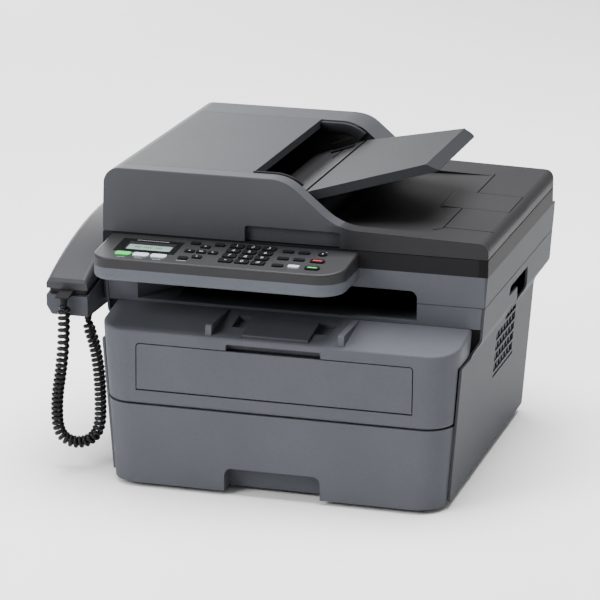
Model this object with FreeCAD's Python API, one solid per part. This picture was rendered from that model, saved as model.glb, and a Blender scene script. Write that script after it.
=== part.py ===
import FreeCAD, Part
import math
import os

V = FreeCAD.Vector

# Overall sizes, in millimetres: X to the right, Y to the back, Z up from the table
LID_WIDTH = 410.0
DEPTH = 397.4
PANEL_DEPTH = 72.0
ENGINE_DEPTH = 362.0
BASE_INSET = 24.8
WAIST_INSET = 14.0
FLARE_INSET = 4.7
SEAM_INSET = 2.3
FRONT_INSET = 3.0
FRONT_LEAN = 0.025
FRONT_CORNER = 30.0
REAR_CORNER = 14.0
FRONT_WRAP = 27.0

# Heights above the table
FOOT_HEIGHT = 5.0
SKIRT_Z = 8.0
TRAY_TOP_Z = 88.6
SHOULDER_Z = 149.0
WAIST_Z = 152.0
FLARE_Z = 166.0
COVER_EDGE_Z = 166.5
EXIT_SILL_Z = 178.0
SEAM_Z = 200.0
PANEL_BOTTOM_Z = 218.0
PANEL_SPLIT_Z = 231.5
SCANNER_Z = 232.6
LID_Z = 251.2
LID_REST_Z = 267.4
LID_STEP_Z = 271.5
FEEDER_RISE = 47.2

# Walls, gaps and running clearances
WALL = 2.5
FRONT_WALL = 3.0
SEAM_GAP = 0.9
SEAM_DEPTH = 1.0
LID_GAP = 0.6
EDGE_GAP = 0.5
RUN_GAP = 0.05
SLIDE_GAP = 0.4

# Inner frame
FRAME_CLEAR = 5.2
FRAME_WALL = 3.0
DECK_Z = 92.0
LASER_DECK_Z = 146.0
RAIL_WIDTH = 33.0
REAR_WALL = 4.0
SCREW_RADIUS = 1.5
SCREW_HEAD_RADIUS = 3.2
SCREW_HEAD = 2.0
SCREW_INSET = 20.0
FOOT_RADIUS = 10.0
FOOT_INSET = 25.0

# Exhaust grille and hand-hold in the right side cover
GRILLE_FRONT_Y = -15.0
GRILLE_BOTTOM_Z = 98.0
GRILLE_PITCH_Y = 13.4
GRILLE_PITCH_Z = 11.6
GRILLE_ROWS = 4
GRILLE_COLUMNS = 7
GRILLE_TOP_PITCH = 8.2
GRILLE_TOP_ROWS = 2
GRILLE_TOP_COLUMNS = 4
GRILLE_BAR = 2.8
GRILLE_RIB = 4.6
GRILLE_SINK = 1.2
GRILLE_GROOVE = 3.0
HOLD_FRONT_Y = -9.0
HOLD_STEP_Y = 30.0
HOLD_BACK_Y = 80.8
HOLD_STEP = 15.0
HOLD_HEIGHT = 25.0
HOLD_DROP = 6.0

# Paper tray
TRAY_SIDE_GAP = 5.0
TRAY_LENGTH = 280.0
TRAY_SIDE_Z = 46.0
TRAY_BACK_Z = 46.0
NOTCH_HALF = 50.9
NOTCH_TOP_Z = 29.5
NOTCH_RADIUS = 8.0
NOTCH_DEPTH = 20.0
LIFT_SIDE_GAP = 28.5
LIFT_FRONT_GAP = 18.0
LIFT_BACK_GAP = 26.0
LIFT_PLATE_THICK = 1.5
LIFT_PIN_RADIUS = 2.0

# Front cover and its doors
COVER_PIVOT_RADIUS = 4.5
HINGE_PIN_RADIUS = 1.5
HINGE_HALF = 140.0
DOOR_HALF = 145.2
DOOR_BOTTOM_Z = 105.0
DOOR_TOP_Z = 153.2
DOOR_PIN_RADIUS = 0.9
DOOR_WELL = 14.0
DOOR_GAP = 1.1
DOOR_CORNER = 3.0
DOOR_PIN_REACH = 1.7
FEED_SLOT_HALF = 112.0
FINGER_HALF = 50.0
FINGER_TOP_Z = 160.7
FINGER_DEPTH = 8.0
FLAP_HALF = 35.0
FLAP_POCKET_HALF = 52.0
FLAP_LENGTH = 46.0
FLAP_START = 5.0
FLAP_THICK = 2.6
FLAP_RISE = 2.4
FLAP_SWING = 0.8
STOP_RIB_X = 69.7
STOP_RIB_WIDTH = 6.4

# Rear cover
REAR_DOOR_HALF = 118.0
REAR_DOOR_BOTTOM_Z = 40.0
REAR_DOOR_TOP_Z = 148.0
REAR_PIN_RADIUS = 1.2

# Paper exit under the scanner
EXIT_LEFT_INSET = 35.0
EXIT_RIGHT_INSET = 73.0
EXIT_TOP_Z = 213.0
EXIT_DEPTH = 217.0
EXIT_TAPER = 40.0

# Scanner
GLASS_LEFT = 113.0
GLASS_MARGIN = 17.0
GLASS_FRONT = 98.0
GLASS_BACK = 118.0
GLASS_THICK = 3.0
GLASS_LAP = 4.0
STRIP_LEFT = 147.0
STRIP_RIGHT = 131.0
CARRIAGE_WIDTH = 20.0
RAIL_ROD_RADIUS = 3.0
RAIL_ROD_Y = 140.0
RAIL_ROD_Z = 240.5

# Control panel
PANEL_LEFT_INSET = 10.0
PANEL_WIDTH = 265.5
PANEL_FRONT_GAP = 1.7
PANEL_REAR_Z = 249.0
PANEL_SLOPE = 0.1
PANEL_CORNER_LEFT = 20.0
PANEL_CORNER_RIGHT = 28.0
KEY_RISE = 1.4
KEY_STEM = 6.0
KEY_FLANGE = 0.8
KEY_GAP = 0.35
DISPLAY_DEPTH = 1.0
DISPLAY_X = 18.0
DISPLAY_WIDTH = 66.0
DISPLAY_FRONT = 47.6
DISPLAY_BACK = 11.0

# Keys: places from the panel's left and rear edges; caps as width, depth and corner radius
DIAL_X = 157.5
DIAL_Y = 11.6
DIAL_PITCH_X = 17.1
DIAL_PITCH_Y = 13.5
MODE_X = 32.3
MODE_Y = 55.6
MODE_PITCH = 19.0
ARROW_X = 109.0
ARROW_Y = 34.6
ARROW_REACH_X = 12.4
ARROW_REACH_Y = 14.6
MENU_Y = 12.0
MENU_REACH = 13.0
MENU_LOW_Y = 54.8
FUNCTION_X = 195.8
FUNCTION_PITCH = 16.8
FUNCTION_Y = 15.0
FUNCTION_PITCH_Y = 19.6
START_X = 232.0
DIAL_KEY = (14.4, 9.8, 2.0)
SMALL_KEY = (10.0, 6.6, 1.5)
LONG_KEY = (11.5, 6.0, 1.5)
MODE_KEY = (16.6, 9.0, 3.0)
START_KEY = (15.0, 8.5, 3.0)
POWER_KEY = (9.0, 9.0, 4.4)
DIAL_NAMES = ["1", "2", "3", "4", "5", "6", "7", "8", "9", "star", "0", "hash"]

# Lid and document feeder
LID_HINGE_RADIUS = 8.7
LID_HINGE_X = 125.0
LID_HINGE_WIDTH = 28.0
LID_PIN_RADIUS = 2.5
FEEDER_FRONT_STRIP = 20.7
FEEDER_REAR_STRIP = 50.7
FEEDER_MOUTH_X = -48.0
FEEDER_LEAN = 2.6
FEEDER_LEFT_RADIUS = 17.0
FEEDER_SHOULDER_X = -8.0
FEEDER_FOOT_X = 48.0
FEEDER_FLOOR_Z = 266.0
FEEDER_COVER_WALL = 3.0
FEEDER_COVER_LIP = 9.0
FEEDER_PIVOT_INSET = 7.0
FEEDER_PIVOT_Z = 276.0
FEEDER_PIN_RADIUS = 2.0
FEED_ROLLER_RADIUS = 8.0
FEED_ROLLER_X = -90.0
FEED_ROLLER_DROP = 22.7
GRIP_HALF = 50.6
GRIP_TOP_Z = 268.0
GRIP_DEPTH = 7.0
PAD_RECESS = 13.0
PAD_THICK = 10.0
PAD_GAP = 3.0

# Document tray, chute, guides and stop
TABLE_X = 8.0
TABLE_DROP = 17.7
TABLE_LENGTH = 129.5
TABLE_HALF = 119.5
TABLE_END_HALF = 81.0
TABLE_THICK = 10.0
TABLE_BEVEL = 10.6
TABLE_EDGE = 1.0
TABLE_CORNER = 7.0
TABLE_SLOPE_DEG = 14.0
TABLE_PIN_RADIUS = 2.0
TABLE_RIM = 8.0
CHUTE_GAP = 1.5
CHUTE_LENGTH = 66.0
CHUTE_THICK = 2.5
CHUTE_LEG = 27.5
CHUTE_SLOPE_DEG = 20.0
GUIDE_X = -26.0
GUIDE_LENGTH = 26.0
GUIDE_WIDTH = 12.0
GUIDE_TRAVEL = 36.0
GUIDE_WAY_END = 13.0
GUIDE_HEIGHT = 9.0
GUIDE_INSET = 16.0
BOWL_MARGIN = 58.0
STOP_MARGIN = 9.0
STOP_LENGTH = 71.5
STOP_FRONT_Y = 4.0
STOP_BACK_Y = 70.0
STOP_THICK = 2.4
STOP_GAP = 0.8

# Handset, cradle and cord
HANDSET_GAP = 4.0
HANDSET_Y = -162.0
HANDSET_Z = 189.0
HANDSET_TILT_DEG = 11.3
HANDSET_LENGTH = 210.0
HANDSET_WIDTH = 45.0
HANDSET_SPLIT = 6.0
HANDSET_END_HEIGHT = 17.0
HANDSET_CROWN = 28.5
CUP_RADIUS = 18.0
CUP_DEPTH = 6.0
CUP_INSET = 32.0
CRADLE_FRONT_Z = 166.5
CRADLE_FLOOR = 30.0
CORD_RADIUS = 6.75
GLAND_LENGTH = 16.5
GLAND_HALF = 7.0
GLAND_DROP = 1.0
HOOK_WIDTH = 8.0
HOOK_LENGTH = 12.0
HOOK_DEPTH = 12.0
HOOK_TRAVEL = 3.0
HOOK_GAP = 0.2

# Curly cord: points of its middle line, chosen by hand, as x from the handset's middle, y and z
CORD_BEND = 0.45
CORD_ROUTE = [
    (0.5, -174.5, 190.0),
    (0.5, -174.5, 151.0),
    (-4.0, -173.5, 112.0),
    (-10.8, -171.0, 78.0),
    (-11.5, -168.5, 42.0),
    (0.5, -164.5, 29.0),
    (18.0, -158.5, 29.0),
    (30.5, -153.5, 42.0),
    (30.5, -150.5, 79.0),
    (28.0, -149.0, 111.0),
    (23.0, -148.5, 138.0),
    (17.0, -148.0, 152.0),
    (17.0, -148.0, CRADLE_FRONT_Z),
]

# Inner units
DRUM_RADIUS = 12.0
DRUM_Y = -20.0
DRUM_HALF = 110.0
TONER_HALF = 118.0
TONER_HEIGHT = 42.0
TONER_FRONT_GAP = 26.0
FUSER_HALF = 125.0
FUSER_DEPTH = 56.0
FUSER_HEIGHT = 40.0
FUSER_GAP = 9.3
FUSER_SLOT = 6.0
FUSER_SLOT_MARGIN = 13.0
LASER_HALF = 95.0
LASER_FRONT_Y = -40.0
LASER_BACK_Y = 84.0
LASER_MARGIN = 4.0
LASER_MOTOR_RADIUS = 22.0
FAN_RADIUS = 25.5
FAN_Y = 30.0
FAN_Z = 120.5
FAN_BLADES = 7
FAN_DEPTH = 14.0
FAN_HUB_RADIUS = 9.0
FAN_BLADE_BACK = 12.0
FAN_BLADE_FRONT = 4.0
FAN_BLADE_ROOT = 7.0
FAN_BLADE_THICK = 1.6
FAN_TIP_GAP = 2.0
FAN_SPOKE_HALF = 3.0
PICKUP_RADIUS = 10.5
PICKUP_Y = -130.0
PICKUP_Z = 74.0
SHAFT_RADIUS = 3.0

# Planes worked out from the sizes above
front_y = -DEPTH / 2
rear_y = DEPTH / 2
half_lid = LID_WIDTH / 2
scan_y = front_y + PANEL_DEPTH
engine_rear = front_y + ENGINE_DEPTH
wrap_y = front_y + FRONT_WRAP
cover_z = TRAY_TOP_Z + SEAM_GAP
lean_deg = math.degrees(math.atan(FRONT_LEAN))
panel_deg = math.degrees(math.atan(PANEL_SLOPE))
base_top_z = LID_Z - LID_GAP
draft = (BASE_INSET - WAIST_INSET) / (WAIST_Z - SKIRT_Z)
frame_half = half_lid - BASE_INSET - FRAME_CLEAR
tray_half = frame_half - RAIL_WIDTH - TRAY_SIDE_GAP
lift_half = tray_half - WALL - LIFT_SIDE_GAP
exit_left = half_lid - EXIT_LEFT_INSET
exit_right = half_lid - EXIT_RIGHT_INSET
feeder_top_z = LID_STEP_Z + FEEDER_RISE
table_z = feeder_top_z - TABLE_DROP
feed_roller_z = feeder_top_z - FEED_ROLLER_DROP
lift_length = TRAY_LENGTH - LIFT_FRONT_GAP - LIFT_BACK_GAP
glass_right = half_lid - GLASS_MARGIN
panel_left = -half_lid + PANEL_LEFT_INSET
panel_right = panel_left + PANEL_WIDTH
feeder_top_x = half_lid - FEEDER_LEAN
feeder_pivot_x = half_lid - FEEDER_PIVOT_INSET
feeder_front = scan_y + FEEDER_FRONT_STRIP
feeder_back = rear_y - FEEDER_REAR_STRIP
stop_right = half_lid - STOP_MARGIN
stop_left = stop_right - STOP_LENGTH
handset_x = -(half_lid + HANDSET_GAP + HANDSET_WIDTH / 2)
middle_x = (half_lid + handset_x - HANDSET_WIDTH / 2) / 2
SIDE_PROFILE = [
    (SKIRT_Z, half_lid - BASE_INSET),
    (WAIST_Z, half_lid - WAIST_INSET),
    (FLARE_Z, half_lid - FLARE_INSET),
    (SEAM_Z, half_lid - SEAM_INSET),
    (SCANNER_Z, half_lid),
]
FAR = 400.0


def side_x(z):
    """Half width of the outer side wall at a height."""
    for (z0, x0), (z1, x1) in zip(SIDE_PROFILE, SIDE_PROFILE[1:]):
        if z <= z1:
            return x0 + (x1 - x0) * (z - z0) / (z1 - z0)
    return half_lid


def front_x(z):
    """Half width of the tray and front cover, which keep the lower side's draft."""
    return half_lid - BASE_INSET + draft * (z - SKIRT_Z) - FRONT_INSET


def lean_y(z):
    """Place of the leaning front face at a height."""
    return front_y + FRONT_LEAN * z


def outline(points, place):
    """Closed wire through (u, v, radius) corners; place turns (u, v) into a point in space."""
    count = len(points)
    ends = []
    for i in range(count):
        u, v, radius = points[i]
        here = V(u, v, 0)
        before = V(points[i - 1][0], points[i - 1][1], 0) - here
        after = V(points[(i + 1) % count][0], points[(i + 1) % count][1], 0) - here
        before.normalize()
        after.normalize()
        if radius <= 0:
            ends.append((here, None, here))
            continue
        half = before.getAngle(after) / 2
        reach = radius / math.tan(half)
        middle = before + after
        middle.normalize()
        depth = radius / math.sin(half) - radius
        ends.append((here + before * reach, here + middle * depth, here + after * reach))
    edges = []
    for i in range(count):
        start, middle, stop = ends[i]
        following = ends[(i + 1) % count][0]
        if middle is not None:
            arc = Part.Arc(place(start), place(middle), place(stop))
            edges.append(arc.toShape())
        if stop.distanceToPoint(following) > 1e-6:
            edges.append(Part.LineSegment(place(stop), place(following)).toShape())
    return Part.Wire(edges)


def bar_x(points, low, high):
    """Outline in (y, z) carried along X."""
    wire = outline(points, lambda p: V(low, p.x, p.y))
    return Part.Face(wire).extrude(V(high - low, 0, 0))


def bar_y(points, low, high):
    """Outline in (x, z) carried along Y."""
    wire = outline(points, lambda p: V(p.x, low, p.y))
    return Part.Face(wire).extrude(V(0, high - low, 0))


def bar_z(points, low, high):
    """Outline in (x, y) carried along Z."""
    wire = outline(points, lambda p: V(p.x, p.y, low))
    return Part.Face(wire).extrude(V(0, 0, high - low))


def rectangle(u0, u1, v0, v1, radius=0.0):
    return [(u0, v0, radius), (u1, v0, radius), (u1, v1, radius), (u0, v1, radius)]


def box(x0, x1, y0, y1, z0, z1):
    return Part.makeBox(x1 - x0, y1 - y0, z1 - z0, V(x0, y0, z0))


def rod_x(y, z, radius, low, high):
    return Part.makeCylinder(radius, high - low, V(low, y, z), V(1, 0, 0))


def rod_y(x, z, radius, low, high):
    return Part.makeCylinder(radius, high - low, V(x, low, z), V(0, 1, 0))


def fuse(shapes):
    return shapes[0].multiFuse(shapes[1:]).removeSplitter()


def mirror_x(shape):
    return shape.mirror(V(0, 0, 0), V(1, 0, 0))


def both_sides(shape):
    return [shape, mirror_x(shape)]


def tilted(shape, origin, degrees):
    """Turn a shape modelled at the origin about X, then carry it to its place."""
    moved = shape.copy()
    moved.Placement = FreeCAD.Placement(origin, FreeCAD.Rotation(V(1, 0, 0), degrees))
    return moved


def slanted(shape, origin, degrees):
    """Turn a shape modelled at the origin about Y, so that its right end rises, then carry it."""
    moved = shape.copy()
    moved.Placement = FreeCAD.Placement(origin, FreeCAD.Rotation(V(0, -1, 0), degrees))
    return moved


def save(name, shape):
    """Write one node, moved so that the origin lies under the middle of the machine and its handset."""
    placed = shape.copy()
    placed.translate(V(-middle_x, 0, 0))
    os.makedirs("parts", exist_ok=True)
    placed.exportStep(os.path.join("parts", name + ".step"))


def machine_side(inset=0.0):
    """The whole outer body as one block, to trim what lies against its sides."""
    right = [(side_x(z) - inset, z, 0) for z, x in SIDE_PROFILE]
    left = [(-x, z, 0) for x, z, r in reversed(right)]
    return bar_y(right + left, front_y - FAR, rear_y + FAR)


# Inner frame and feet


def base_frame():
    wall_front = wrap_y + 6.0
    outer = frame_half
    inner = frame_half - FRAME_WALL
    walls = both_sides(box(inner, outer, wall_front, engine_rear - REAR_WALL, FOOT_HEIGHT, EXIT_SILL_Z))
    rails = both_sides(box(outer - RAIL_WIDTH, outer, wall_front, engine_rear - REAR_WALL, FOOT_HEIGHT, SKIRT_Z))
    deck = box(-inner, inner, PICKUP_Y + 20.0, engine_rear - REAR_WALL, DECK_Z, DECK_Z + FRAME_WALL)
    laser_deck = box(-inner, inner, LASER_FRONT_Y - LASER_MARGIN, LASER_BACK_Y + LASER_MARGIN,
                     LASER_DECK_Z, LASER_DECK_Z + FRAME_WALL)
    back_low, back_high = SKIRT_Z + WALL + EDGE_GAP, FLARE_Z
    right = [(side_x(z) - WALL - EDGE_GAP, z, 0) for z in (back_low, WAIST_Z, back_high)]
    left = [(-x, z, 0) for x, z, r in reversed(right)]
    back = bar_y(right + left, engine_rear - REAR_WALL, engine_rear)
    gusset = [
        (inner, SHOULDER_Z + 4.0, 0),
        (side_x(SHOULDER_Z + 4.0) - WALL - EDGE_GAP, SHOULDER_Z + 4.0, 0),
        (side_x(FLARE_Z) - WALL - EDGE_GAP, FLARE_Z, 0),
        (side_x(EXIT_SILL_Z) - WALL - EDGE_GAP, EXIT_SILL_Z, 0),
        (inner, EXIT_SILL_Z, 0),
    ]
    gussets = both_sides(bar_y(gusset, scan_y + 2.0, scan_y + 2.0 + FRAME_WALL))
    arm_y, arm_z = cover_pivot()
    arm = box(HINGE_HALF - 4.0, HINGE_HALF, arm_y, PICKUP_Y + 22.0, DECK_Z, DECK_Z + FRAME_WALL)
    eye = rod_x(arm_y, arm_z, 2.4, HINGE_HALF - 4.0, HINGE_HALF)
    pin = rod_x(arm_y, arm_z, HINGE_PIN_RADIUS, HINGE_HALF, HINGE_HALF + 4.2)
    arms = both_sides(fuse([arm, eye, pin]))
    body = fuse(walls + rails + [deck, laser_deck, back] + gussets + arms)
    doorway = box(
        -REAR_DOOR_HALF - EDGE_GAP, REAR_DOOR_HALF + EDGE_GAP, engine_rear - REAR_WALL - 1.0, engine_rear + 1.0,
        REAR_DOOR_BOTTOM_Z - EDGE_GAP, REAR_DOOR_TOP_Z + EDGE_GAP)
    pin_hole = rod_x(*rear_pivot(), REAR_PIN_RADIUS + RUN_GAP, -REAR_DOOR_HALF - 5.0, REAR_DOOR_HALF + 5.0)
    pickup_hole = rod_x(PICKUP_Y, PICKUP_Z, SHAFT_RADIUS + RUN_GAP, -outer - 1.0, outer + 1.0)
    fan_hole = rod_x(FAN_Y, FAN_Z, FAN_RADIUS, inner - 1.0, outer + 1.0)
    spokes = fuse([
        box(inner - 2.0, outer + 2.0, FAN_Y - FAR, FAN_Y + FAR, FAN_Z - FAN_SPOKE_HALF, FAN_Z + FAN_SPOKE_HALF),
        box(inner - 2.0, outer + 2.0, FAN_Y - FAN_SPOKE_HALF, FAN_Y + FAN_SPOKE_HALF, FAN_Z - FAR, FAN_Z + FAR),
        rod_x(FAN_Y, FAN_Z, FAN_HUB_RADIUS, inner - 2.0, outer + 2.0),
    ])
    fan_axle = rod_x(FAN_Y, FAN_Z, SHAFT_RADIUS + RUN_GAP, inner - 1.0, outer + 1.0)
    holes = [rod_y(x, z, SCREW_RADIUS + RUN_GAP, engine_rear - REAR_WALL - 1.0, engine_rear + 1.0)
             for x, z in screw_places()]
    cover_room = box(-FAR, FAR, front_y, scan_y + 1.0, SHOULDER_Z - 3.0, FAR)
    return body.cut([doorway, pin_hole, pickup_hole, fan_hole.cut(spokes), fan_axle, cover_room] + holes)


def screw_places():
    x = REAR_DOOR_HALF + SCREW_INSET
    return [(s * x, z) for s in (-1, 1) for z in (REAR_DOOR_BOTTOM_Z, REAR_DOOR_TOP_Z - SCREW_INSET)]


def cover_screws():
    screws = []
    for x, z in screw_places():
        shank = rod_y(x, z, SCREW_RADIUS, engine_rear - REAR_WALL, engine_rear + 0.5)
        head = rod_y(x, z, SCREW_HEAD_RADIUS, engine_rear, engine_rear + SCREW_HEAD)
        slot = box(x - SCREW_HEAD_RADIUS, x + SCREW_HEAD_RADIUS, engine_rear + SCREW_HEAD / 2,
                   engine_rear + SCREW_HEAD * 2, z - 0.4, z + 0.4)
        screws.append(fuse([shank, head]).cut(slot))
    return Part.makeCompound(screws)


def rubber_feet():
    x = frame_half - RAIL_WIDTH / 2
    front, back = wrap_y + FOOT_INSET, engine_rear - FOOT_INSET
    feet = [Part.makeCone(FOOT_RADIUS - 1.5, FOOT_RADIUS, FOOT_HEIGHT, V(s * x, y, 0))
            for s in (-1, 1) for y in (front, back)]
    return Part.makeCompound(feet)


# Outer covers


def side_skin():
    """Right side cover before its openings: a drafted and flared skin with two joining flanges."""
    rounding = {SKIRT_Z: 0.0, WAIST_Z: 14.0, FLARE_Z: 9.0, SEAM_Z: 0.0}
    outer = [(side_x(z), z, r) for z, r in rounding.items()]
    inner = [(x - WALL, z, r) for x, z, r in reversed(outer)]
    skin = bar_y(outer + inner, wrap_y - 3.0, rear_y)
    shape = bar_x([
        (wrap_y, SKIRT_Z, 0),
        (wrap_y, SHOULDER_Z, 2.0),
        (scan_y, SHOULDER_Z, 10.0),
        (scan_y, SEAM_Z, 0),
        (rear_y, SEAM_Z, 0),
        (rear_y, FLARE_Z, 2.0),
        (engine_rear, WAIST_Z, 6.0),
        (engine_rear, SKIRT_Z, 3.0),
    ], 0, FAR)
    skin = skin.common(shape)
    block = bar_y([(0, SKIRT_Z, 0)] + outer + [(0, SEAM_Z, 0)], front_y, rear_y)
    bottom = box(frame_half, FAR, wrap_y + 6.0, engine_rear - REAR_WALL, SKIRT_Z, SKIRT_Z + WALL)
    top = box(frame_half, FAR, scan_y + 6.0, rear_y - 4.0, SEAM_Z - WALL, SEAM_Z)
    hanger = box(frame_half, FAR, scan_y + 6.0, scan_y + 6.0 + WALL, FLARE_Z, SEAM_Z)
    return fuse([skin] + [rib.common(block) for rib in (bottom, top, hanger)])


def grille_row(z, height, first, count):
    """Cuts of one grille row: a shallow trough with a through slot in each column."""
    top = z + height - GRILLE_BAR
    start = GRILLE_FRONT_Y + first * GRILLE_PITCH_Y
    stop = start + count * GRILLE_PITCH_Y - GRILLE_RIB
    cuts = [box(side_x(z) - GRILLE_SINK, FAR, start, stop, z, top)]
    for column in range(count):
        y = start + column * GRILLE_PITCH_Y
        cuts.append(box(0.0, FAR, y, y + GRILLE_PITCH_Y - GRILLE_RIB, z, top))
    return cuts


def right_side_cover():
    """Right side cover with the exhaust grille and the hand-hold under the flare."""
    hold = bar_x([
        (HOLD_FRONT_Y, FLARE_Z + HOLD_STEP, 0), (HOLD_FRONT_Y + 3.0, FLARE_Z + HOLD_HEIGHT, 4.0),
        (HOLD_BACK_Y - 3.3, FLARE_Z + HOLD_HEIGHT, 2.0), (HOLD_BACK_Y, FLARE_Z, 8.0),
        (HOLD_STEP_Y + 6.5, FLARE_Z - HOLD_DROP, 0), (HOLD_STEP_Y, FLARE_Z + HOLD_STEP, 0),
    ], 0.0, FAR)
    cuts = [hold]
    for row in range(GRILLE_ROWS):
        cuts += grille_row(GRILLE_BOTTOM_Z + row * GRILLE_PITCH_Z, GRILLE_PITCH_Z, 0, GRILLE_COLUMNS)
    top_z = GRILLE_BOTTOM_Z + GRILLE_ROWS * GRILLE_PITCH_Z
    for row in range(GRILLE_TOP_ROWS):
        cuts += grille_row(top_z + row * GRILLE_TOP_PITCH, GRILLE_TOP_PITCH,
                           GRILLE_COLUMNS - GRILLE_TOP_COLUMNS, GRILLE_TOP_COLUMNS)
    groove_z = GRILLE_BOTTOM_Z - 2 * GRILLE_GROOVE
    cuts.append(box(side_x(groove_z) - GRILLE_SINK, FAR, GRILLE_FRONT_Y,
                    GRILLE_FRONT_Y + GRILLE_COLUMNS * GRILLE_PITCH_Y, groove_z, groove_z + GRILLE_GROOVE))
    return side_skin().cut(cuts)


def left_side_cover():
    return mirror_x(side_skin())


def upper_housing():
    """Joint cover between engine and scanner, with the paper exit and its stacking bed."""
    ring = bar_y([
        (side_x(SEAM_Z), SEAM_Z, 0), (half_lid, SCANNER_Z, 0),
        (-half_lid, SCANNER_Z, 0), (-side_x(SEAM_Z), SEAM_Z, 0),
    ], scan_y, rear_y)
    hollow_top = SCANNER_Z - FRONT_WALL
    hollow = bar_y([
        (side_x(SEAM_Z) - FRONT_WALL, SEAM_Z - 1.0, 0), (side_x(hollow_top) - FRONT_WALL, hollow_top, 0),
        (-side_x(hollow_top) + FRONT_WALL, hollow_top, 0), (-side_x(SEAM_Z) + FRONT_WALL, SEAM_Z - 1.0, 0),
    ], scan_y + FRONT_WALL, rear_y - FRONT_WALL)
    body = ring.cut(hollow)
    inset = WALL + EDGE_GAP
    chest = [(side_x(z) - inset, z, 0) for z in (EXIT_SILL_Z, SEAM_Z)]
    chest_front = bar_y(chest + [(-x, z, 0) for x, z, r in reversed(chest)], scan_y, scan_y + 1.8)
    tail = [(side_x(z) - inset, z, 0) for z in (FLARE_Z, SEAM_Z)]
    tail_back = bar_y(tail + [(-x, z, 0) for x, z, r in reversed(tail)], rear_y - FRONT_WALL, rear_y)
    tail_floor = bar_y(
        rectangle(-side_x(FLARE_Z) + inset, side_x(FLARE_Z) - inset, FLARE_Z, FLARE_Z + WALL),
        engine_rear - REAR_WALL, rear_y)
    liner = box(-exit_left - WALL, exit_right + WALL, scan_y, scan_y + EXIT_DEPTH + WALL,
                EXIT_SILL_Z, EXIT_TOP_Z + WALL)
    exit_plan = [
        (-exit_left, scan_y - 5.0, 0), (exit_right, scan_y - 5.0, 0), (exit_right, scan_y + EXIT_DEPTH, 0),
        (-exit_left + EXIT_TAPER, scan_y + EXIT_DEPTH, 0),
        (-exit_left + EXIT_TAPER, scan_y + EXIT_TAPER * 1.5, 0),
    ]
    exit_space = bar_z(exit_plan, EXIT_SILL_Z - 5.0, EXIT_TOP_Z)
    bed = bar_x([
        (scan_y - 6.0, EXIT_SILL_Z + 3.0, 0), (scan_y - 6.0, EXIT_TOP_Z, 0),
        (scan_y + EXIT_DEPTH, EXIT_TOP_Z, 0), (scan_y + EXIT_DEPTH, EXIT_SILL_Z + 14.0, 0),
    ], -exit_left, exit_right)
    body = fuse([body, chest_front, tail_back, tail_floor, liner])
    core = side_x(SEAM_Z) - SEAM_DEPTH
    seam = box(-FAR, FAR, scan_y - 5.0, rear_y + 5.0, SEAM_Z, SEAM_Z + SEAM_GAP).cut(
        box(-core, core, scan_y + SEAM_DEPTH, rear_y - SEAM_DEPTH, SEAM_Z - 1.0, SEAM_Z + SEAM_GAP + 1.0))
    return body.cut([exit_space.common(bed), seam])


def plan_block(low, high, inset=0.0):
    """Scanner plan: square front corners, rounded rear corners."""
    x = half_lid - inset
    corner = max(REAR_CORNER - inset, 1.0)
    return bar_z([
        (-x, scan_y + inset, 1.5), (x, scan_y + inset, 1.5),
        (x, rear_y - inset, corner), (-x, rear_y - inset, corner),
    ], low, high)


def lid_axis():
    return rear_y - LID_HINGE_RADIUS, LID_Z + LID_HINGE_RADIUS


def scanner_base():
    """Flatbed housing with two glass windows and the lid's hinge posts."""
    body = plan_block(SCANNER_Z, base_top_z).cut(plan_block(SCANNER_Z + WALL, base_top_z - WALL, FRONT_WALL))
    window = bar_z(rectangle(-GLASS_LEFT, glass_right, -GLASS_FRONT, GLASS_BACK, 2.0), base_top_z - 9.0, LID_Z)
    strip = bar_z(rectangle(-STRIP_LEFT, -STRIP_RIGHT, -GLASS_FRONT, GLASS_BACK, 2.0), base_top_z - 9.0, LID_Z)
    body = body.cut([window, strip])
    y, z = lid_axis()
    half = LID_HINGE_WIDTH / 2 - 2.0
    post = bar_x([(y - 5.0, base_top_z - 1.0, 0), (y + 5.0, base_top_z - 1.0, 0),
                  (y + 4.5, z, 0), (y - 4.5, z, 0)], LID_HINGE_X - half, LID_HINGE_X + half)
    knuckle = rod_x(y, z, 4.5, LID_HINGE_X - half, LID_HINGE_X + half)
    pin = rod_x(y, z, LID_PIN_RADIUS, LID_HINGE_X - half - 8.0, LID_HINGE_X + half + 8.0)
    return fuse([body] + both_sides(fuse([post, knuckle, pin])))


def platen_glass():
    top = base_top_z - WALL
    plate = box(-GLASS_LEFT - GLASS_LAP, glass_right + GLASS_LAP, -GLASS_FRONT - GLASS_LAP,
                GLASS_BACK + GLASS_LAP, top - GLASS_THICK, top)
    strip = box(-STRIP_LEFT - GLASS_LAP, -STRIP_RIGHT + GLASS_LAP, -GLASS_FRONT - GLASS_LAP,
                GLASS_BACK + GLASS_LAP, top - GLASS_THICK, top)
    return Part.makeCompound([plate, strip])


def carriage_x():
    return -(STRIP_LEFT + STRIP_RIGHT) / 2


def scan_rail():
    return rod_x(RAIL_ROD_Y, RAIL_ROD_Z, RAIL_ROD_RADIUS, -half_lid + FRONT_WALL, half_lid - FRONT_WALL)


def scan_carriage():
    x = carriage_x()
    half = CARRIAGE_WIDTH / 2
    low = SCANNER_Z + WALL + SLIDE_GAP
    high = base_top_z - WALL - GLASS_THICK - SLIDE_GAP
    bar = box(x - half, x + half, -GLASS_FRONT - 10.0, RAIL_ROD_Y - 6.0, low, high)
    lens = box(x - 3.0, x + 3.0, -GLASS_FRONT, GLASS_BACK, high - 1.5, high + 1.0)
    sleeve = box(x - half - 6.0, x + half + 6.0, RAIL_ROD_Y - 8.0, RAIL_ROD_Y + 8.0, low, high)
    bore = rod_x(RAIL_ROD_Y, RAIL_ROD_Z, RAIL_ROD_RADIUS + RUN_GAP, -FAR, FAR)
    return fuse([bar, sleeve]).cut([bore, lens])


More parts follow.
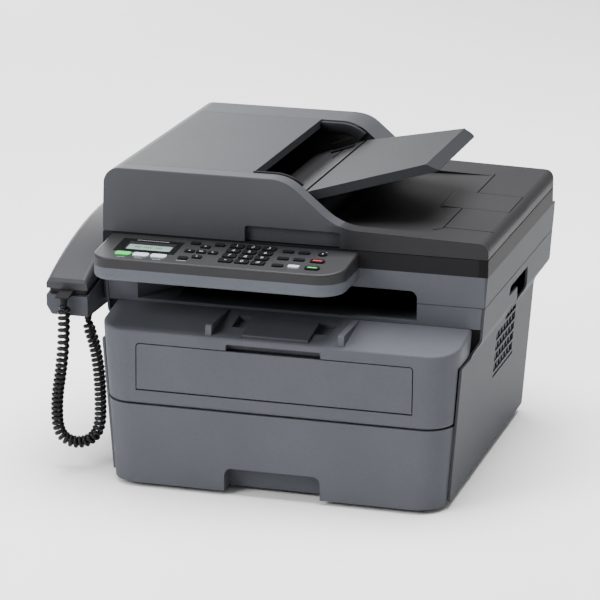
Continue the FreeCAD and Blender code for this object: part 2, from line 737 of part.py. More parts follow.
# Paper tray


def front_block(low, high, inset=0.0, back=None):
    """Front section between two heights: leaning front, drafted sides, round corners."""
    wires = []
    for z in (low, high):
        x = front_x(z) - inset
        y = lean_y(z) + inset
        corner = FRONT_CORNER - inset
        points = [(-x, back, 0), (-x, y, corner), (x, y, corner), (x, back, 0)]
        wires.append(outline(points, lambda p, z=z: V(p.x, p.y, z)))
    block = Part.makeLoft(wires, True, True)
    if block.Volume < 0:
        block.reverse()
    return block


def paper_tray():
    low, high = FOOT_HEIGHT, TRAY_TOP_Z
    panel = front_block(low, high, 0.0, wrap_y)
    hollow = front_block(low + WALL, high - WALL, FRONT_WALL, wrap_y + 6.0)
    shell = panel.cut(hollow)
    notch = [(-NOTCH_HALF, low - 5.0, 0), (-NOTCH_HALF, NOTCH_TOP_Z, NOTCH_RADIUS),
             (NOTCH_HALF, NOTCH_TOP_Z, NOTCH_RADIUS), (NOTCH_HALF, low - 5.0, 0)]
    holder = [(-NOTCH_HALF - WALL, low, 0), (-NOTCH_HALF - WALL, NOTCH_TOP_Z + WALL, NOTCH_RADIUS + WALL),
              (NOTCH_HALF + WALL, NOTCH_TOP_Z + WALL, NOTCH_RADIUS + WALL), (NOTCH_HALF + WALL, low, 0)]
    pocket = bar_y(holder, front_y, front_y + NOTCH_DEPTH + WALL).common(panel)
    shell = fuse([shell, pocket]).cut(bar_y(notch, front_y - 5.0, front_y + NOTCH_DEPTH))
    back = wrap_y + TRAY_LENGTH
    floor = box(-tray_half, tray_half, wrap_y - 3.0, back, low + 0.5, low + 0.5 + WALL)
    side = box(tray_half - WALL, tray_half, wrap_y - 3.0, back, low + 0.5, TRAY_SIDE_Z)
    end = box(-tray_half, tray_half, back - WALL, back, low + 0.5, TRAY_BACK_Z)
    bore = rod_x(*lift_axis(), LIFT_PIN_RADIUS + RUN_GAP, -tray_half - 1.0, tray_half + 1.0)
    return fuse([shell, floor, end] + both_sides(side)).cut(bore)


def lift_axis():
    return wrap_y + LIFT_FRONT_GAP + lift_length, FOOT_HEIGHT + 8.0


def lift_plate():
    """Sprung plate that raises the paper stack; it turns on pins at its rear edge."""
    y, z = lift_axis()
    plate = box(-lift_half, lift_half, y - lift_length, y,
                z - LIFT_PLATE_THICK / 2, z + LIFT_PLATE_THICK / 2)
    reach = tray_half - SLIDE_GAP
    pin = rod_x(y, z, LIFT_PIN_RADIUS, -reach, reach)
    pad = box(-25.0, 25.0, y - lift_length + 4.0, y - lift_length + 24.0,
              z, z + LIFT_PLATE_THICK / 2 + 0.8)
    return fuse([plate, pin, pad])


# Front cover


def cover_pivot():
    """Hinge line of the front cover, inside the round of its lower edge."""
    z = cover_z + COVER_PIVOT_RADIUS
    return lean_y(z) + COVER_PIVOT_RADIUS, z


def cover_slope():
    run = scan_y - SEAM_GAP - lean_y(COVER_EDGE_Z)
    return math.degrees(math.atan((EXIT_SILL_Z - COVER_EDGE_Z) / run))


def on_cover_top(shape):
    """Place a shape modelled on (x, distance back, height) onto the sloping cover top."""
    return tilted(shape, V(0, lean_y(COVER_EDGE_Z), COVER_EDGE_Z), cover_slope())


def under_cover_top(drop):
    """Everything below the sloping cover top, less a drop."""
    return on_cover_top(box(-FAR, FAR, -FAR, FAR, -FAR, -drop))


def edges_on(shape, test):
    return [edge for edge in shape.Edges if test(edge)]


def front_cover():
    back = scan_y - SEAM_GAP
    block = front_block(cover_z, EXIT_SILL_Z + 6.0, 0.0, back).common(under_cover_top(0.0))
    slope = math.tan(math.radians(cover_slope()))

    def on_rim(edge):
        rim = all(abs(v.Z - COVER_EDGE_Z - slope * (v.Y - lean_y(COVER_EDGE_Z))) < 0.01 for v in edge.Vertexes)
        return rim and min(v.Y for v in edge.Vertexes) < back - 1.0

    def on_sill(edge):
        return all(abs(v.Z - cover_z) < 0.01 and v.Y < lean_y(cover_z) + 0.01 for v in edge.Vertexes)

    block = block.makeFillet(3.0, edges_on(block, on_rim))
    block = block.makeFillet(COVER_PIVOT_RADIUS - 0.3, edges_on(block, on_sill))
    hollow = front_block(cover_z + FRONT_WALL, EXIT_SILL_Z + 6.0, FRONT_WALL, back + 6.0)
    cover = block.cut(hollow.common(under_cover_top(FRONT_WALL)))
    well_back = lean_y(DOOR_BOTTOM_Z) + FRONT_WALL + DOOR_WELL
    opening = DOOR_HALF + DOOR_GAP
    well_half = opening + DOOR_PIN_REACH + 1.2
    well = box(-well_half, well_half, front_y, well_back + WALL, DOOR_BOTTOM_Z - 4.0, DOOR_TOP_Z + 4.0)
    finger = box(-FINGER_HALF - WALL, FINGER_HALF + WALL, front_y, lean_y(FINGER_TOP_Z) + FINGER_DEPTH + WALL,
                 DOOR_TOP_Z, FINGER_TOP_Z + WALL)
    y, z = cover_pivot()
    lug = both_sides(fuse([
        rod_x(y, z, 3.2, HINGE_HALF + 0.4, HINGE_HALF + 4.4),
        box(HINGE_HALF + 0.4, HINGE_HALF + 4.4, front_y, y, z, z + 3.2),
    ]))
    flap_well = on_cover_top(box(-FLAP_POCKET_HALF - WALL, FLAP_POCKET_HALF + WALL, FLAP_START - WALL,
                                 FLAP_START + FLAP_LENGTH + 4.0 + WALL, -FLAP_THICK - 3.0 - WALL, -1.0))
    ribs = both_sides(bar_x([
        (lean_y(COVER_EDGE_Z) + 4.0, COVER_EDGE_Z - 1.0, 0),
        (lean_y(COVER_EDGE_Z) + 5.5, EXIT_SILL_Z + 0.6, 3.0),
        (back - 4.0, EXIT_SILL_Z + 0.6, 0), (back - 4.0, EXIT_SILL_Z - 3.0, 0),
    ], STOP_RIB_X - STOP_RIB_WIDTH / 2, STOP_RIB_X + STOP_RIB_WIDTH / 2))
    cover = fuse([cover, well.common(block), finger.common(block), flap_well.common(block)]
                 + [part.common(block) for part in lug] + ribs)
    door_corner = DOOR_CORNER + DOOR_GAP
    doorway = bar_y([
        (-opening, DOOR_BOTTOM_Z - DOOR_GAP, 0.4), (opening, DOOR_BOTTOM_Z - DOOR_GAP, 0.4),
        (opening, DOOR_TOP_Z + DOOR_GAP, door_corner), (-opening, DOOR_TOP_Z + DOOR_GAP, door_corner),
    ], front_y - 5.0, well_back)
    slot = bar_y(rectangle(-FEED_SLOT_HALF, FEED_SLOT_HALF, DOOR_BOTTOM_Z + 12.0, DOOR_BOTTOM_Z + 20.0, 3.0),
                 front_y, well_back + 10.0)
    finger_cut = bar_y(rectangle(-FINGER_HALF, FINGER_HALF, DOOR_TOP_Z - 4.0, FINGER_TOP_Z, 2.0),
                       front_y - 5.0, lean_y(FINGER_TOP_Z) + FINGER_DEPTH)
    bore_reach = opening + DOOR_PIN_REACH + 0.4
    door_pins = rod_x(*door_pivot(), DOOR_PIN_RADIUS + RUN_GAP, -bore_reach, bore_reach)
    bore = rod_x(y, z, HINGE_PIN_RADIUS + RUN_GAP, -HINGE_HALF - 6.0, HINGE_HALF + 6.0)
    shoulder = box(-FAR, FAR, wrap_y - SEAM_GAP, FAR, cover_z - 5.0, SHOULDER_Z + SEAM_GAP)
    arm_way = both_sides(box(HINGE_HALF - 4.6, HINGE_HALF + 0.3, y - 2.7, FAR, cover_z - 5.0, z + 3.0))
    flap_cut = on_cover_top(fuse([
        box(-FLAP_HALF - EDGE_GAP, FLAP_HALF + EDGE_GAP, FLAP_START - FLAP_SWING,
            FLAP_START + FLAP_LENGTH + 4.0, -FLAP_THICK - 3.0, 20.0),
        box(-FLAP_POCKET_HALF, FLAP_POCKET_HALF, FLAP_START + FLAP_LENGTH / 2, FLAP_START + FLAP_LENGTH + 4.0,
            -FLAP_THICK - 3.0, 20.0),
    ]))
    flap_pin = on_cover_top(rod_x(FLAP_START + 2.0, -FLAP_THICK / 2, DOOR_PIN_RADIUS + RUN_GAP,
                                  -FLAP_HALF - 3.0, FLAP_HALF + 3.0))
    return cover.cut([doorway, slot, finger_cut, door_pins, bore, shoulder, flap_cut, flap_pin] + arm_way)


def door_pivot():
    z = DOOR_BOTTOM_Z + FRONT_WALL / 2
    return lean_y(z) + FRONT_WALL / 2, z


def manual_feed_door():
    """Drop-down door of the single sheet slot; its lower edge is rounded about the hinge."""
    y, z = door_pivot()
    top = DOOR_TOP_Z
    plate = bar_x([
        (lean_y(z), z, 0), (lean_y(top), top, 0),
        (lean_y(top) + FRONT_WALL, top, 0), (lean_y(z) + FRONT_WALL, z, 0),
    ], -DOOR_HALF, DOOR_HALF)
    outline = bar_y([
        (-DOOR_HALF, z - 5.0, 0), (DOOR_HALF, z - 5.0, 0),
        (DOOR_HALF, top, DOOR_CORNER), (-DOOR_HALF, top, DOOR_CORNER),
    ], front_y - 5.0, scan_y)
    edge = rod_x(y, z, FRONT_WALL / 2, -DOOR_HALF, DOOR_HALF)
    reach = DOOR_HALF + DOOR_GAP + DOOR_PIN_REACH
    pins = rod_x(y, z, DOOR_PIN_RADIUS, -reach, reach)
    return fuse([plate.common(outline), edge, pins])


def output_flap():
    """Sheet support that folds up from the front cover's top."""
    half = FLAP_THICK / 2
    front, back = FLAP_START + 2.0, FLAP_START + FLAP_LENGTH
    plate = bar_x([
        (front, -FLAP_THICK, 0), (front, FLAP_RISE, 1.2), (back, FLAP_RISE, 1.2), (back, -FLAP_THICK, 0),
    ], -FLAP_HALF, FLAP_HALF)
    edge = rod_x(front, -half, half, -FLAP_HALF, FLAP_HALF)
    pins = rod_x(front, -half, DOOR_PIN_RADIUS, -FLAP_HALF - 2.6, FLAP_HALF + 2.6)
    return on_cover_top(fuse([plate, edge, pins]))


# Rear cover


def rear_pivot():
    return engine_rear - REAR_WALL / 2, REAR_DOOR_BOTTOM_Z + REAR_WALL / 2


def rear_cover():
    y, z = rear_pivot()
    plate = box(-REAR_DOOR_HALF, REAR_DOOR_HALF, engine_rear - REAR_WALL, engine_rear, z, REAR_DOOR_TOP_Z)
    edge = rod_x(y, z, REAR_WALL / 2, -REAR_DOOR_HALF, REAR_DOOR_HALF)
    pins = rod_x(y, z, REAR_PIN_RADIUS, -REAR_DOOR_HALF - 4.0, REAR_DOOR_HALF + 4.0)
    grip = bar_y(rectangle(-30.0, 30.0, REAR_DOOR_TOP_Z - 14.0, REAR_DOOR_TOP_Z - 4.0, 4.0),
                 engine_rear - 2.0, engine_rear + 2.0)
    return fuse([plate, edge, pins]).cut(grip)


# Control panel and keys


def panel_plan(inset, low, high):
    left, right = panel_left + inset, panel_right - inset
    front = front_y + PANEL_FRONT_GAP + inset
    return bar_z([
        (left, scan_y, 0), (left, front, PANEL_CORNER_LEFT - inset),
        (right, front, PANEL_CORNER_RIGHT - inset), (right, scan_y, 0),
    ], low, high)


def on_panel(shape):
    """Place a shape modelled on (x, distance from the panel's rear edge, height) onto the panel."""
    return tilted(shape, V(0, scan_y, PANEL_REAR_Z), panel_deg)


def panel_base():
    """Lower shell of the control panel, with a rounded bottom edge."""
    block = panel_plan(0.0, PANEL_BOTTOM_Z, PANEL_SPLIT_Z)

    def on_bottom(edge):
        return all(abs(v.Z - PANEL_BOTTOM_Z) < 0.01 for v in edge.Vertexes) and \
            min(v.Y for v in edge.Vertexes) < scan_y - 1.0

    block = block.makeFillet(5.0, edges_on(block, on_bottom))
    return block.cut(panel_plan(WALL, PANEL_BOTTOM_Z + WALL, SCANNER_Z).common(
        box(-FAR, FAR, -FAR, scan_y - WALL, 0, FAR)))


def panel_top():
    """Upper shell of the control panel with a hole for every key and a seat for the display."""
    below = on_panel(box(-FAR, FAR, -FAR, FAR, -FAR, 0.0))
    block = panel_plan(0.0, PANEL_SPLIT_Z, LID_Z).common(below)

    def on_rim(edge):
        rim = all(abs(v.Z - PANEL_REAR_Z - PANEL_SLOPE * (v.Y - scan_y)) < 0.01 for v in edge.Vertexes)
        return rim and min(v.Y for v in edge.Vertexes) < scan_y - 1.0

    block = block.makeFillet(2.5, edges_on(block, on_rim))
    hollow = panel_plan(WALL, PANEL_SPLIT_Z - 1.0, LID_Z).common(
        on_panel(box(-FAR, FAR, -FAR, -WALL, -FAR, -WALL)))
    shell = block.cut(hollow)
    left, right, front, back = display_box()
    seat = box(left, right, front, back, -DISPLAY_DEPTH, 5.0)
    cuts = [on_panel(seat)]
    for keys in KEYS.values():
        cuts += [on_panel(key_blank(key, KEY_GAP, -KEY_STEM, 5.0)) for key in keys]
    return shell.cut(cuts)


def display_box():
    """Left, right, front and rear of the display window on the panel."""
    left = panel_left + DISPLAY_X
    return left, left + DISPLAY_WIDTH, -DISPLAY_FRONT, -DISPLAY_BACK


def display_window():
    left, right, front, back = display_box()
    return on_panel(bar_z(rectangle(left, right, front, back, 0.0), -DISPLAY_DEPTH, 0.0))


def key_table():
    """Every key node with the x, distance from the rear edge, width, depth and radius of each cap."""
    keys = {}
    for i, name in enumerate(DIAL_NAMES):
        x = DIAL_X + (i % 3 - 1) * DIAL_PITCH_X
        y = DIAL_Y + (i // 3) * DIAL_PITCH_Y
        keys["dial_key_" + name] = [(x, y, DIAL_KEY)]
    for i, name in enumerate(("fax_key", "scan_key", "copy_key")):
        keys[name] = [(MODE_X + i * MODE_PITCH, MODE_Y, MODE_KEY)]
    keys["ok_key"] = [(ARROW_X, ARROW_Y, SMALL_KEY)]
    arrows = ((0.0, -ARROW_REACH_Y), (0.0, ARROW_REACH_Y), (-ARROW_REACH_X, 0.0), (ARROW_REACH_X, 0.0))
    keys["arrow_keys"] = [(ARROW_X + u, ARROW_Y + v, SMALL_KEY) for u, v in arrows]
    menus = ((-MENU_REACH, MENU_Y), (MENU_REACH, MENU_Y), (-MENU_REACH, MENU_LOW_Y))
    keys["menu_keys"] = [(ARROW_X + u, y, SMALL_KEY) for u, y in menus]
    keys["function_keys"] = [(FUNCTION_X + column * FUNCTION_PITCH,
                              FUNCTION_Y + row * FUNCTION_PITCH_Y, LONG_KEY)
                             for column in (0, 1) for row in (0, 1, 2)]
    keys["power_key"] = [(START_X, FUNCTION_Y, POWER_KEY)]
    keys["stop_key"] = [(START_X, FUNCTION_Y + FUNCTION_PITCH_Y, START_KEY)]
    keys["start_key"] = [(START_X, FUNCTION_Y + 2 * FUNCTION_PITCH_Y, START_KEY)]
    return keys


KEYS = key_table()


def key_blank(key, grow, low, high):
    x, y, (width, depth, radius) = key
    u, v = width / 2 + grow, depth / 2 + grow
    x += panel_left
    return bar_z(rectangle(x - u, x + u, -y - v, -y + v, radius + grow), low, high)


def key_caps(keys):
    caps = []
    for key in keys:
        cap = key_blank(key, 0.0, -KEY_STEM, KEY_RISE)
        flange = key_blank(key, KEY_FLANGE, -KEY_STEM, -WALL - 2.0)
        caps.append(on_panel(fuse([cap, flange])))
    return caps[0] if len(caps) == 1 else Part.makeCompound(caps)


# Document lid and feeder


def lid_outline(inset=0.0):
    """Front view of the lid: feeder on the left, low document rest on the right."""
    return [
        (-half_lid + inset, LID_Z + inset, 1.0),
        (-feeder_top_x + inset, feeder_top_z - inset, FEEDER_LEFT_RADIUS - inset),
        (FEEDER_SHOULDER_X - inset * 0.4, feeder_top_z - inset, 45.0),
        (FEEDER_FOOT_X - inset * 0.4, LID_STEP_Z - inset, 60.0),
        (half_lid - inset, LID_REST_Z - inset, 10.0 - inset),
        (half_lid - inset, LID_Z + inset, 1.0),
    ]


def lid_block():
    """Lid before its openings, rounded in plan and about its hinge."""
    body = bar_y(lid_outline(), scan_y, rear_y).common(plan_block(LID_Z, feeder_top_z + 1.0))
    side = bar_x([
        (scan_y, LID_Z, 0), (scan_y, feeder_top_z + 1.0, 3.0),
        (rear_y, feeder_top_z + 1.0, 8.0), (rear_y, LID_Z, LID_HINGE_RADIUS - 0.01),
    ], -FAR, FAR)
    return body.common(side)


def rest_z(x):
    """Height of the document rest at the right of the feeder."""
    return LID_STEP_Z + (LID_REST_Z - LID_STEP_Z) * (x - FEEDER_FOOT_X) / (half_lid - FEEDER_FOOT_X)


def on_rest(shape):
    """Place a shape modelled about the stop's hinge line onto the document rest."""
    slope = math.degrees(math.atan((LID_REST_Z - LID_STEP_Z) / (half_lid - FEEDER_FOOT_X)))
    return slanted(shape, V(stop_left, 0, rest_z(stop_left)), slope)


def on_table(shape):
    """Place a shape modelled about the document tray's hinge line onto its slope."""
    return slanted(shape, V(TABLE_X, 0, table_z), TABLE_SLOPE_DEG)


def on_chute(shape):
    """Place a shape modelled about the same line onto the steeper chute at its left."""
    return slanted(shape, V(TABLE_X, 0, table_z), CHUTE_SLOPE_DEG)


def lid_recess():
    """Hollow under the lid, closed by the pressure pad."""
    y, z = lid_axis()
    side = half_lid - 5.0
    return box(-side, side, scan_y + GRIP_DEPTH + WALL, y - 12.0, LID_Z - 1.0, LID_Z + PAD_RECESS)


def pressure_pad():
    """White foam pad that holds a page flat on the glass."""
    room = lid_recess().BoundBox
    return box(room.XMin + PAD_GAP, room.XMax - PAD_GAP, room.YMin + PAD_GAP, room.YMax - PAD_GAP,
               room.ZMax - PAD_THICK, room.ZMax)


def document_lid():
    y, z = lid_axis()
    under = lid_recess()
    rear_void = box(-feeder_top_x + 5.0, FEEDER_SHOULDER_X - 14.0, feeder_back + 4.0, y - 12.0,
                    LID_Z, feeder_top_z - 5.0)
    bowl_x = half_lid - BOWL_MARGIN
    room = bar_y([
        (-FAR, FEEDER_FLOOR_Z, 0), (20.0, FEEDER_FLOOR_Z, 0), (bowl_x, rest_z(bowl_x), 0),
        (bowl_x, feeder_top_z + 5.0, 0), (-FAR, feeder_top_z + 5.0, 0),
    ], feeder_front, feeder_back)
    body = lid_block().cut([under, room, rear_void])
    chute = box(-CHUTE_LENGTH, -TABLE_THICK / 2 - CHUTE_GAP, feeder_front - 1.0, feeder_back + 1.0,
                -CHUTE_THICK, 0.0)
    leg = box(-CHUTE_LENGTH, -CHUTE_LENGTH + CHUTE_THICK, feeder_front - 1.0, feeder_back + 1.0,
              -CHUTE_LEG, 0.0)
    floor_line = box(-FAR, FAR, -FAR, FAR, FEEDER_FLOOR_Z - 1.0, FAR)
    body = fuse([body, on_chute(chute), on_chute(leg).common(floor_line)])
    grip = bar_y(rectangle(-GRIP_HALF, GRIP_HALF, LID_Z - 5.0, GRIP_TOP_Z, 3.0),
                 scan_y - 2.0, scan_y + GRIP_DEPTH)
    half = LID_HINGE_WIDTH / 2
    pockets = both_sides(box(LID_HINGE_X - half, LID_HINGE_X + half, y - 10.0, rear_y + 5.0,
                             LID_Z - 2.0, z + 8.0))
    pins = both_sides(rod_x(y, z, LID_PIN_RADIUS + RUN_GAP,
                            LID_HINGE_X - half - 8.0, LID_HINGE_X + half + 8.0))
    cover_pin = rod_y(-feeder_pivot_x, FEEDER_PIVOT_Z, FEEDER_PIN_RADIUS + RUN_GAP,
                      feeder_front - 5.0, feeder_back + 5.0)
    roller_pin = rod_y(FEED_ROLLER_X, feed_roller_z, SHAFT_RADIUS + RUN_GAP,
                       feeder_front - 5.0, feeder_back + 5.0)
    table_pin = on_table(rod_y(0, -TABLE_THICK / 2, TABLE_PIN_RADIUS + RUN_GAP, feeder_front - 5.0,
                               feeder_back + 5.0))
    stop_seat = on_rest(box(-STOP_THICK, STOP_LENGTH + STOP_GAP,
                            STOP_FRONT_Y - STOP_GAP, STOP_BACK_Y + STOP_GAP,
                            -STOP_THICK - 0.4, 8.0))
    stop_pin = on_rest(rod_y(0, -STOP_THICK / 2, DOOR_PIN_RADIUS + RUN_GAP,
                             STOP_FRONT_Y - 3.0, STOP_BACK_Y + 3.0))
    guide_ways = [on_chute(box(GUIDE_X - 1.5, GUIDE_X + 1.5,
                               low - 1.0, low + GUIDE_TRAVEL + GUIDE_WAY_END, -CHUTE_THICK - 1.0,
                               1.0)) for low in guide_starts()]
    return body.cut([grip, cover_pin, roller_pin, table_pin, stop_seat, stop_pin] + pockets + pins + guide_ways)


def feeder_cover():
    """Hinged top of the document feeder; it turns about a line at its lower left edge."""
    outer = lid_block()
    body = bar_y(lid_outline(), feeder_front + EDGE_GAP, feeder_back - EDGE_GAP)
    inner = bar_y(lid_outline(FEEDER_COVER_WALL), feeder_front - 1.0, feeder_back + 1.0)
    keep = box(-FAR, FEEDER_MOUTH_X, -FAR, FAR, FEEDER_FLOOR_Z + 3.0, FAR)
    shell = body.common(outer).cut(inner).common(keep)
    pivot = rod_y(-feeder_pivot_x, FEEDER_PIVOT_Z, FEEDER_PIN_RADIUS, feeder_front - 4.0, feeder_back + 4.0)
    lip = box(FEEDER_MOUTH_X - FEEDER_COVER_WALL, FEEDER_MOUTH_X,
              feeder_front + EDGE_GAP, feeder_back - EDGE_GAP,
              feeder_top_z - FEEDER_COVER_LIP, feeder_top_z - FEEDER_COVER_WALL / 3)
    ear_low, ear_high = FEEDER_PIVOT_Z - 3.5, FEEDER_PIVOT_Z + 3.5
    ears = [box(-feeder_pivot_x - 3.0, -feeder_pivot_x + 3.5, y, y + 6.0, ear_low, ear_high)
            for y in (feeder_front + EDGE_GAP, feeder_back - EDGE_GAP - 6.0)]
    return fuse([shell, pivot, lip] + ears)


def feed_roller():
    """Document feed roller on its shaft across the feeder."""
    shaft = rod_y(FEED_ROLLER_X, feed_roller_z, SHAFT_RADIUS, feeder_front - 4.0, feeder_back + 4.0)
    centre = (feeder_front + feeder_back) / 2
    tyres = [rod_y(FEED_ROLLER_X, feed_roller_z, FEED_ROLLER_RADIUS,
                   centre + offset - 15.0, centre + offset + 15.0)
             for offset in (-45.0, 0.0, 45.0)]
    return fuse([shaft] + tyres)


def document_tray():
    """Sloping document support, narrower at its bevelled right end, that swings up about its left edge."""
    middle = (feeder_front + feeder_back) / 2
    plate = bar_z([
        (0.0, middle - TABLE_HALF, 0), (TABLE_LENGTH, middle - TABLE_END_HALF, TABLE_CORNER),
        (TABLE_LENGTH, middle + TABLE_END_HALF, TABLE_CORNER), (0.0, middle + TABLE_HALF, 0),
    ], -TABLE_THICK, 0.0)
    start = TABLE_LENGTH - TABLE_BEVEL
    bevel = bar_y([
        (start, 0.0, 0), (TABLE_LENGTH, TABLE_EDGE - TABLE_THICK, 0),
        (TABLE_LENGTH + 1.0, TABLE_EDGE - TABLE_THICK, 0),
        (TABLE_LENGTH + 1.0, 1.0, 0), (start, 1.0, 0),
    ], -FAR, FAR)
    inside = TABLE_END_HALF - TABLE_RIM
    hollow = box(TABLE_RIM, start - TABLE_RIM, middle - inside, middle + inside, -TABLE_THICK - 1.0, -WALL)
    edge = rod_y(0, -TABLE_THICK / 2, TABLE_THICK / 2, middle - TABLE_HALF, middle + TABLE_HALF)
    pins = rod_y(0, -TABLE_THICK / 2, TABLE_PIN_RADIUS, feeder_front - 4.0, feeder_back + 4.0)
    return on_table(fuse([plate.cut([hollow, bevel]), edge, pins]))


def guide_starts():
    """Lower ends of the two guide slots in the chute."""
    return [feeder_front + GUIDE_INSET, feeder_back - GUIDE_INSET - GUIDE_TRAVEL - GUIDE_WIDTH]


def document_guide(rear):
    """Side guide that slides across the chute on a pin in its slot."""
    low = guide_starts()[1] + GUIDE_TRAVEL if rear else guide_starts()[0]
    left, right = GUIDE_X - GUIDE_LENGTH / 2, GUIDE_X + GUIDE_LENGTH / 2
    base = box(left, right, low, low + GUIDE_WIDTH, SLIDE_GAP / 2, 1.8)
    wall_y = low + GUIDE_WIDTH - 2.0 if rear else low
    fence = box(left, right, wall_y, wall_y + 2.0, SLIDE_GAP / 2, GUIDE_HEIGHT)
    tongue = box(GUIDE_X - 1.1, GUIDE_X + 1.1, low + 3.0, low + 9.0, -CHUTE_THICK, 1.0)
    return on_chute(fuse([base, fence, tongue]))


def document_stop():
    """Fold-up stop at the end of the document rest."""
    half = STOP_THICK / 2
    plate = box(0.0, STOP_LENGTH, STOP_FRONT_Y, STOP_BACK_Y, -STOP_THICK, 0.0)
    edge = rod_y(0, -half, half, STOP_FRONT_Y, STOP_BACK_Y)
    pins = rod_y(0, -half, DOOR_PIN_RADIUS, STOP_FRONT_Y - 2.6, STOP_BACK_Y + 2.6)
    return on_rest(fuse([plate, edge, pins]))


# Handset, cradle and cord


def on_cradle(shape):
    """Place a shape modelled on (x, length, height) of the handset onto its sloping seat."""
    return tilted(shape, V(handset_x, HANDSET_Y, HANDSET_Z), HANDSET_TILT_DEG)


def handset_profile(inset):
    """Side view of the handset's upper shell: a crowned back between two rounded ends."""
    low = HANDSET_SPLIT
    start = V(0, inset, low)
    foot = V(0, inset, HANDSET_END_HEIGHT - inset - 3.0)
    brow = V(0, inset + 3.0, HANDSET_END_HEIGHT - inset)
    crown = V(0, HANDSET_LENGTH / 2, HANDSET_CROWN - inset)
    far_brow = V(0, HANDSET_LENGTH - inset - 3.0, HANDSET_END_HEIGHT - inset)
    far_foot = V(0, HANDSET_LENGTH - inset, HANDSET_END_HEIGHT - inset - 3.0)
    stop = V(0, HANDSET_LENGTH - inset, low)
    return Part.Wire([
        Part.LineSegment(start, foot).toShape(), Part.LineSegment(foot, brow).toShape(),
        Part.Arc(brow, crown, far_brow).toShape(),
        Part.LineSegment(far_brow, far_foot).toShape(), Part.LineSegment(far_foot, stop).toShape(),
        Part.LineSegment(stop, start).toShape(),
    ])


def handset_upper():
    half = HANDSET_WIDTH / 2
    block = Part.Face(handset_profile(0.0)).extrude(V(HANDSET_WIDTH, 0, 0))
    block.translate(V(-half, 0, 0))

    def on_ridge(edge):
        middle = edge.valueAt((edge.FirstParameter + edge.LastParameter) / 2)
        return abs(abs(middle.x) - half) < 0.01 and middle.z > HANDSET_CROWN - 0.5

    block = block.makeFillet(6.0, edges_on(block, on_ridge))
    hollow = Part.Face(handset_profile(WALL)).extrude(V(HANDSET_WIDTH - 2 * WALL, 0, 0))
    hollow.translate(V(-half + WALL, 0, -1.0))
    return on_cradle(block.cut(hollow))


def handset_lower():
    """Under shell with the ear and mouth cups, and the gland of the cord at its front end."""
    half = HANDSET_WIDTH / 2 - 1.5
    shell = bar_z(rectangle(-half, half, 1.5, HANDSET_LENGTH - 1.5, 4.0), 0.0, HANDSET_SPLIT)
    cups = [Part.makeCylinder(CUP_RADIUS, CUP_DEPTH + 1.0, V(0, y, -CUP_DEPTH))
            for y in (CUP_INSET, HANDSET_LENGTH - CUP_INSET)]
    body = on_cradle(fuse([shell] + cups))
    x, y, z = cord_points()[0]
    gland = box(x - GLAND_HALF, x + GLAND_HALF, y - GLAND_HALF, y + GLAND_LENGTH, z, z + 2 * GLAND_DROP + 4.0)
    clear = on_cradle(box(-FAR, FAR, -FAR, FAR, HANDSET_SPLIT, FAR))
    return fuse([body, gland.cut(clear)])


def handset_cradle():
    """Cradle beside the machine, trimmed to its side wall, with seats for the handset's cups."""
    half = HANDSET_WIDTH / 2
    back_y = HANDSET_Y + HANDSET_LENGTH * math.cos(math.radians(HANDSET_TILT_DEG))
    rise = math.tan(math.radians(HANDSET_TILT_DEG))
    body = bar_x([
        (HANDSET_Y - 2.0, CRADLE_FRONT_Z, 3.0), (HANDSET_Y - 2.0, FAR, 0), (back_y, FAR, 0),
        (back_y, CRADLE_FRONT_Z + CRADLE_FLOOR, 8.0), (HANDSET_Y + 70.0, CRADLE_FRONT_Z, 30.0),
    ], handset_x - half, handset_x + half)
    bevel = bar_y([
        (handset_x - half, CRADLE_FRONT_Z - 30.0, 0), (handset_x - half, CRADLE_FRONT_Z + 10.0, 0),
        (handset_x - half + 6.0, CRADLE_FRONT_Z, 0), (handset_x - half + 6.0, CRADLE_FRONT_Z - 30.0, 0),
    ], HANDSET_Y - 50.0, back_y + 50.0)
    seat = on_cradle(box(-FAR, FAR, -FAR, FAR, -SLIDE_GAP, FAR))
    mid_y = HANDSET_Y + HANDSET_LENGTH * 0.45
    bracket = box(handset_x, 0.0, mid_y - 45.0, mid_y + 45.0, FLARE_Z + 8.0, SEAM_Z - 4.0)
    body = fuse([body.cut([bevel, seat]), bracket.cut([seat, machine_side()])])
    wells = [Part.makeCylinder(CUP_RADIUS + 1.2, FAR, V(0, y, -CUP_DEPTH - SLIDE_GAP))
             for y in (CUP_INSET, HANDSET_LENGTH - CUP_INSET)]
    hook_way = hook_block(SLIDE_GAP, -CUP_DEPTH - HOOK_DEPTH - HOOK_TRAVEL, FAR)
    return body.cut([on_cradle(cut) for cut in wells + [hook_way]])


def hook_block(grow, low, high):
    """Block of the hook switch, under the handset's rear cup."""
    u, v = HOOK_WIDTH / 2 + grow, HOOK_LENGTH / 2 + grow
    middle = HANDSET_LENGTH - CUP_INSET
    return box(-u, u, middle - v, middle + v, low, high)


def hook_switch():
    top = -CUP_DEPTH - HOOK_GAP
    return on_cradle(hook_block(0.0, top - HOOK_DEPTH, top))


def cord_points():
    return [V(handset_x + x, y, z) for x, y, z in CORD_ROUTE]


def cord_path():
    """Straight runs joined by tangent arcs, each as large as its two runs allow."""
    points = cord_points()
    edges = []
    here = points[0]
    for before, corner, after in zip(points, points[1:], points[2:]):
        back = before - corner
        ahead = after - corner
        reach = CORD_BEND * min(back.Length, ahead.Length)
        back.normalize()
        ahead.normalize()
        half_turn = (math.pi - back.getAngle(ahead)) / 2
        radius = reach / math.tan(half_turn)
        middle = back + ahead
        middle.normalize()
        depth = radius / math.cos(half_turn) - radius
        start, stop = corner + back * reach, corner + ahead * reach
        edges.append(Part.LineSegment(here, start).toShape())
        edges.append(Part.Arc(start, corner + middle * depth, stop).toShape())
        here = stop
    edges.append(Part.LineSegment(here, points[-1]).toShape())
    return Part.Wire(edges)


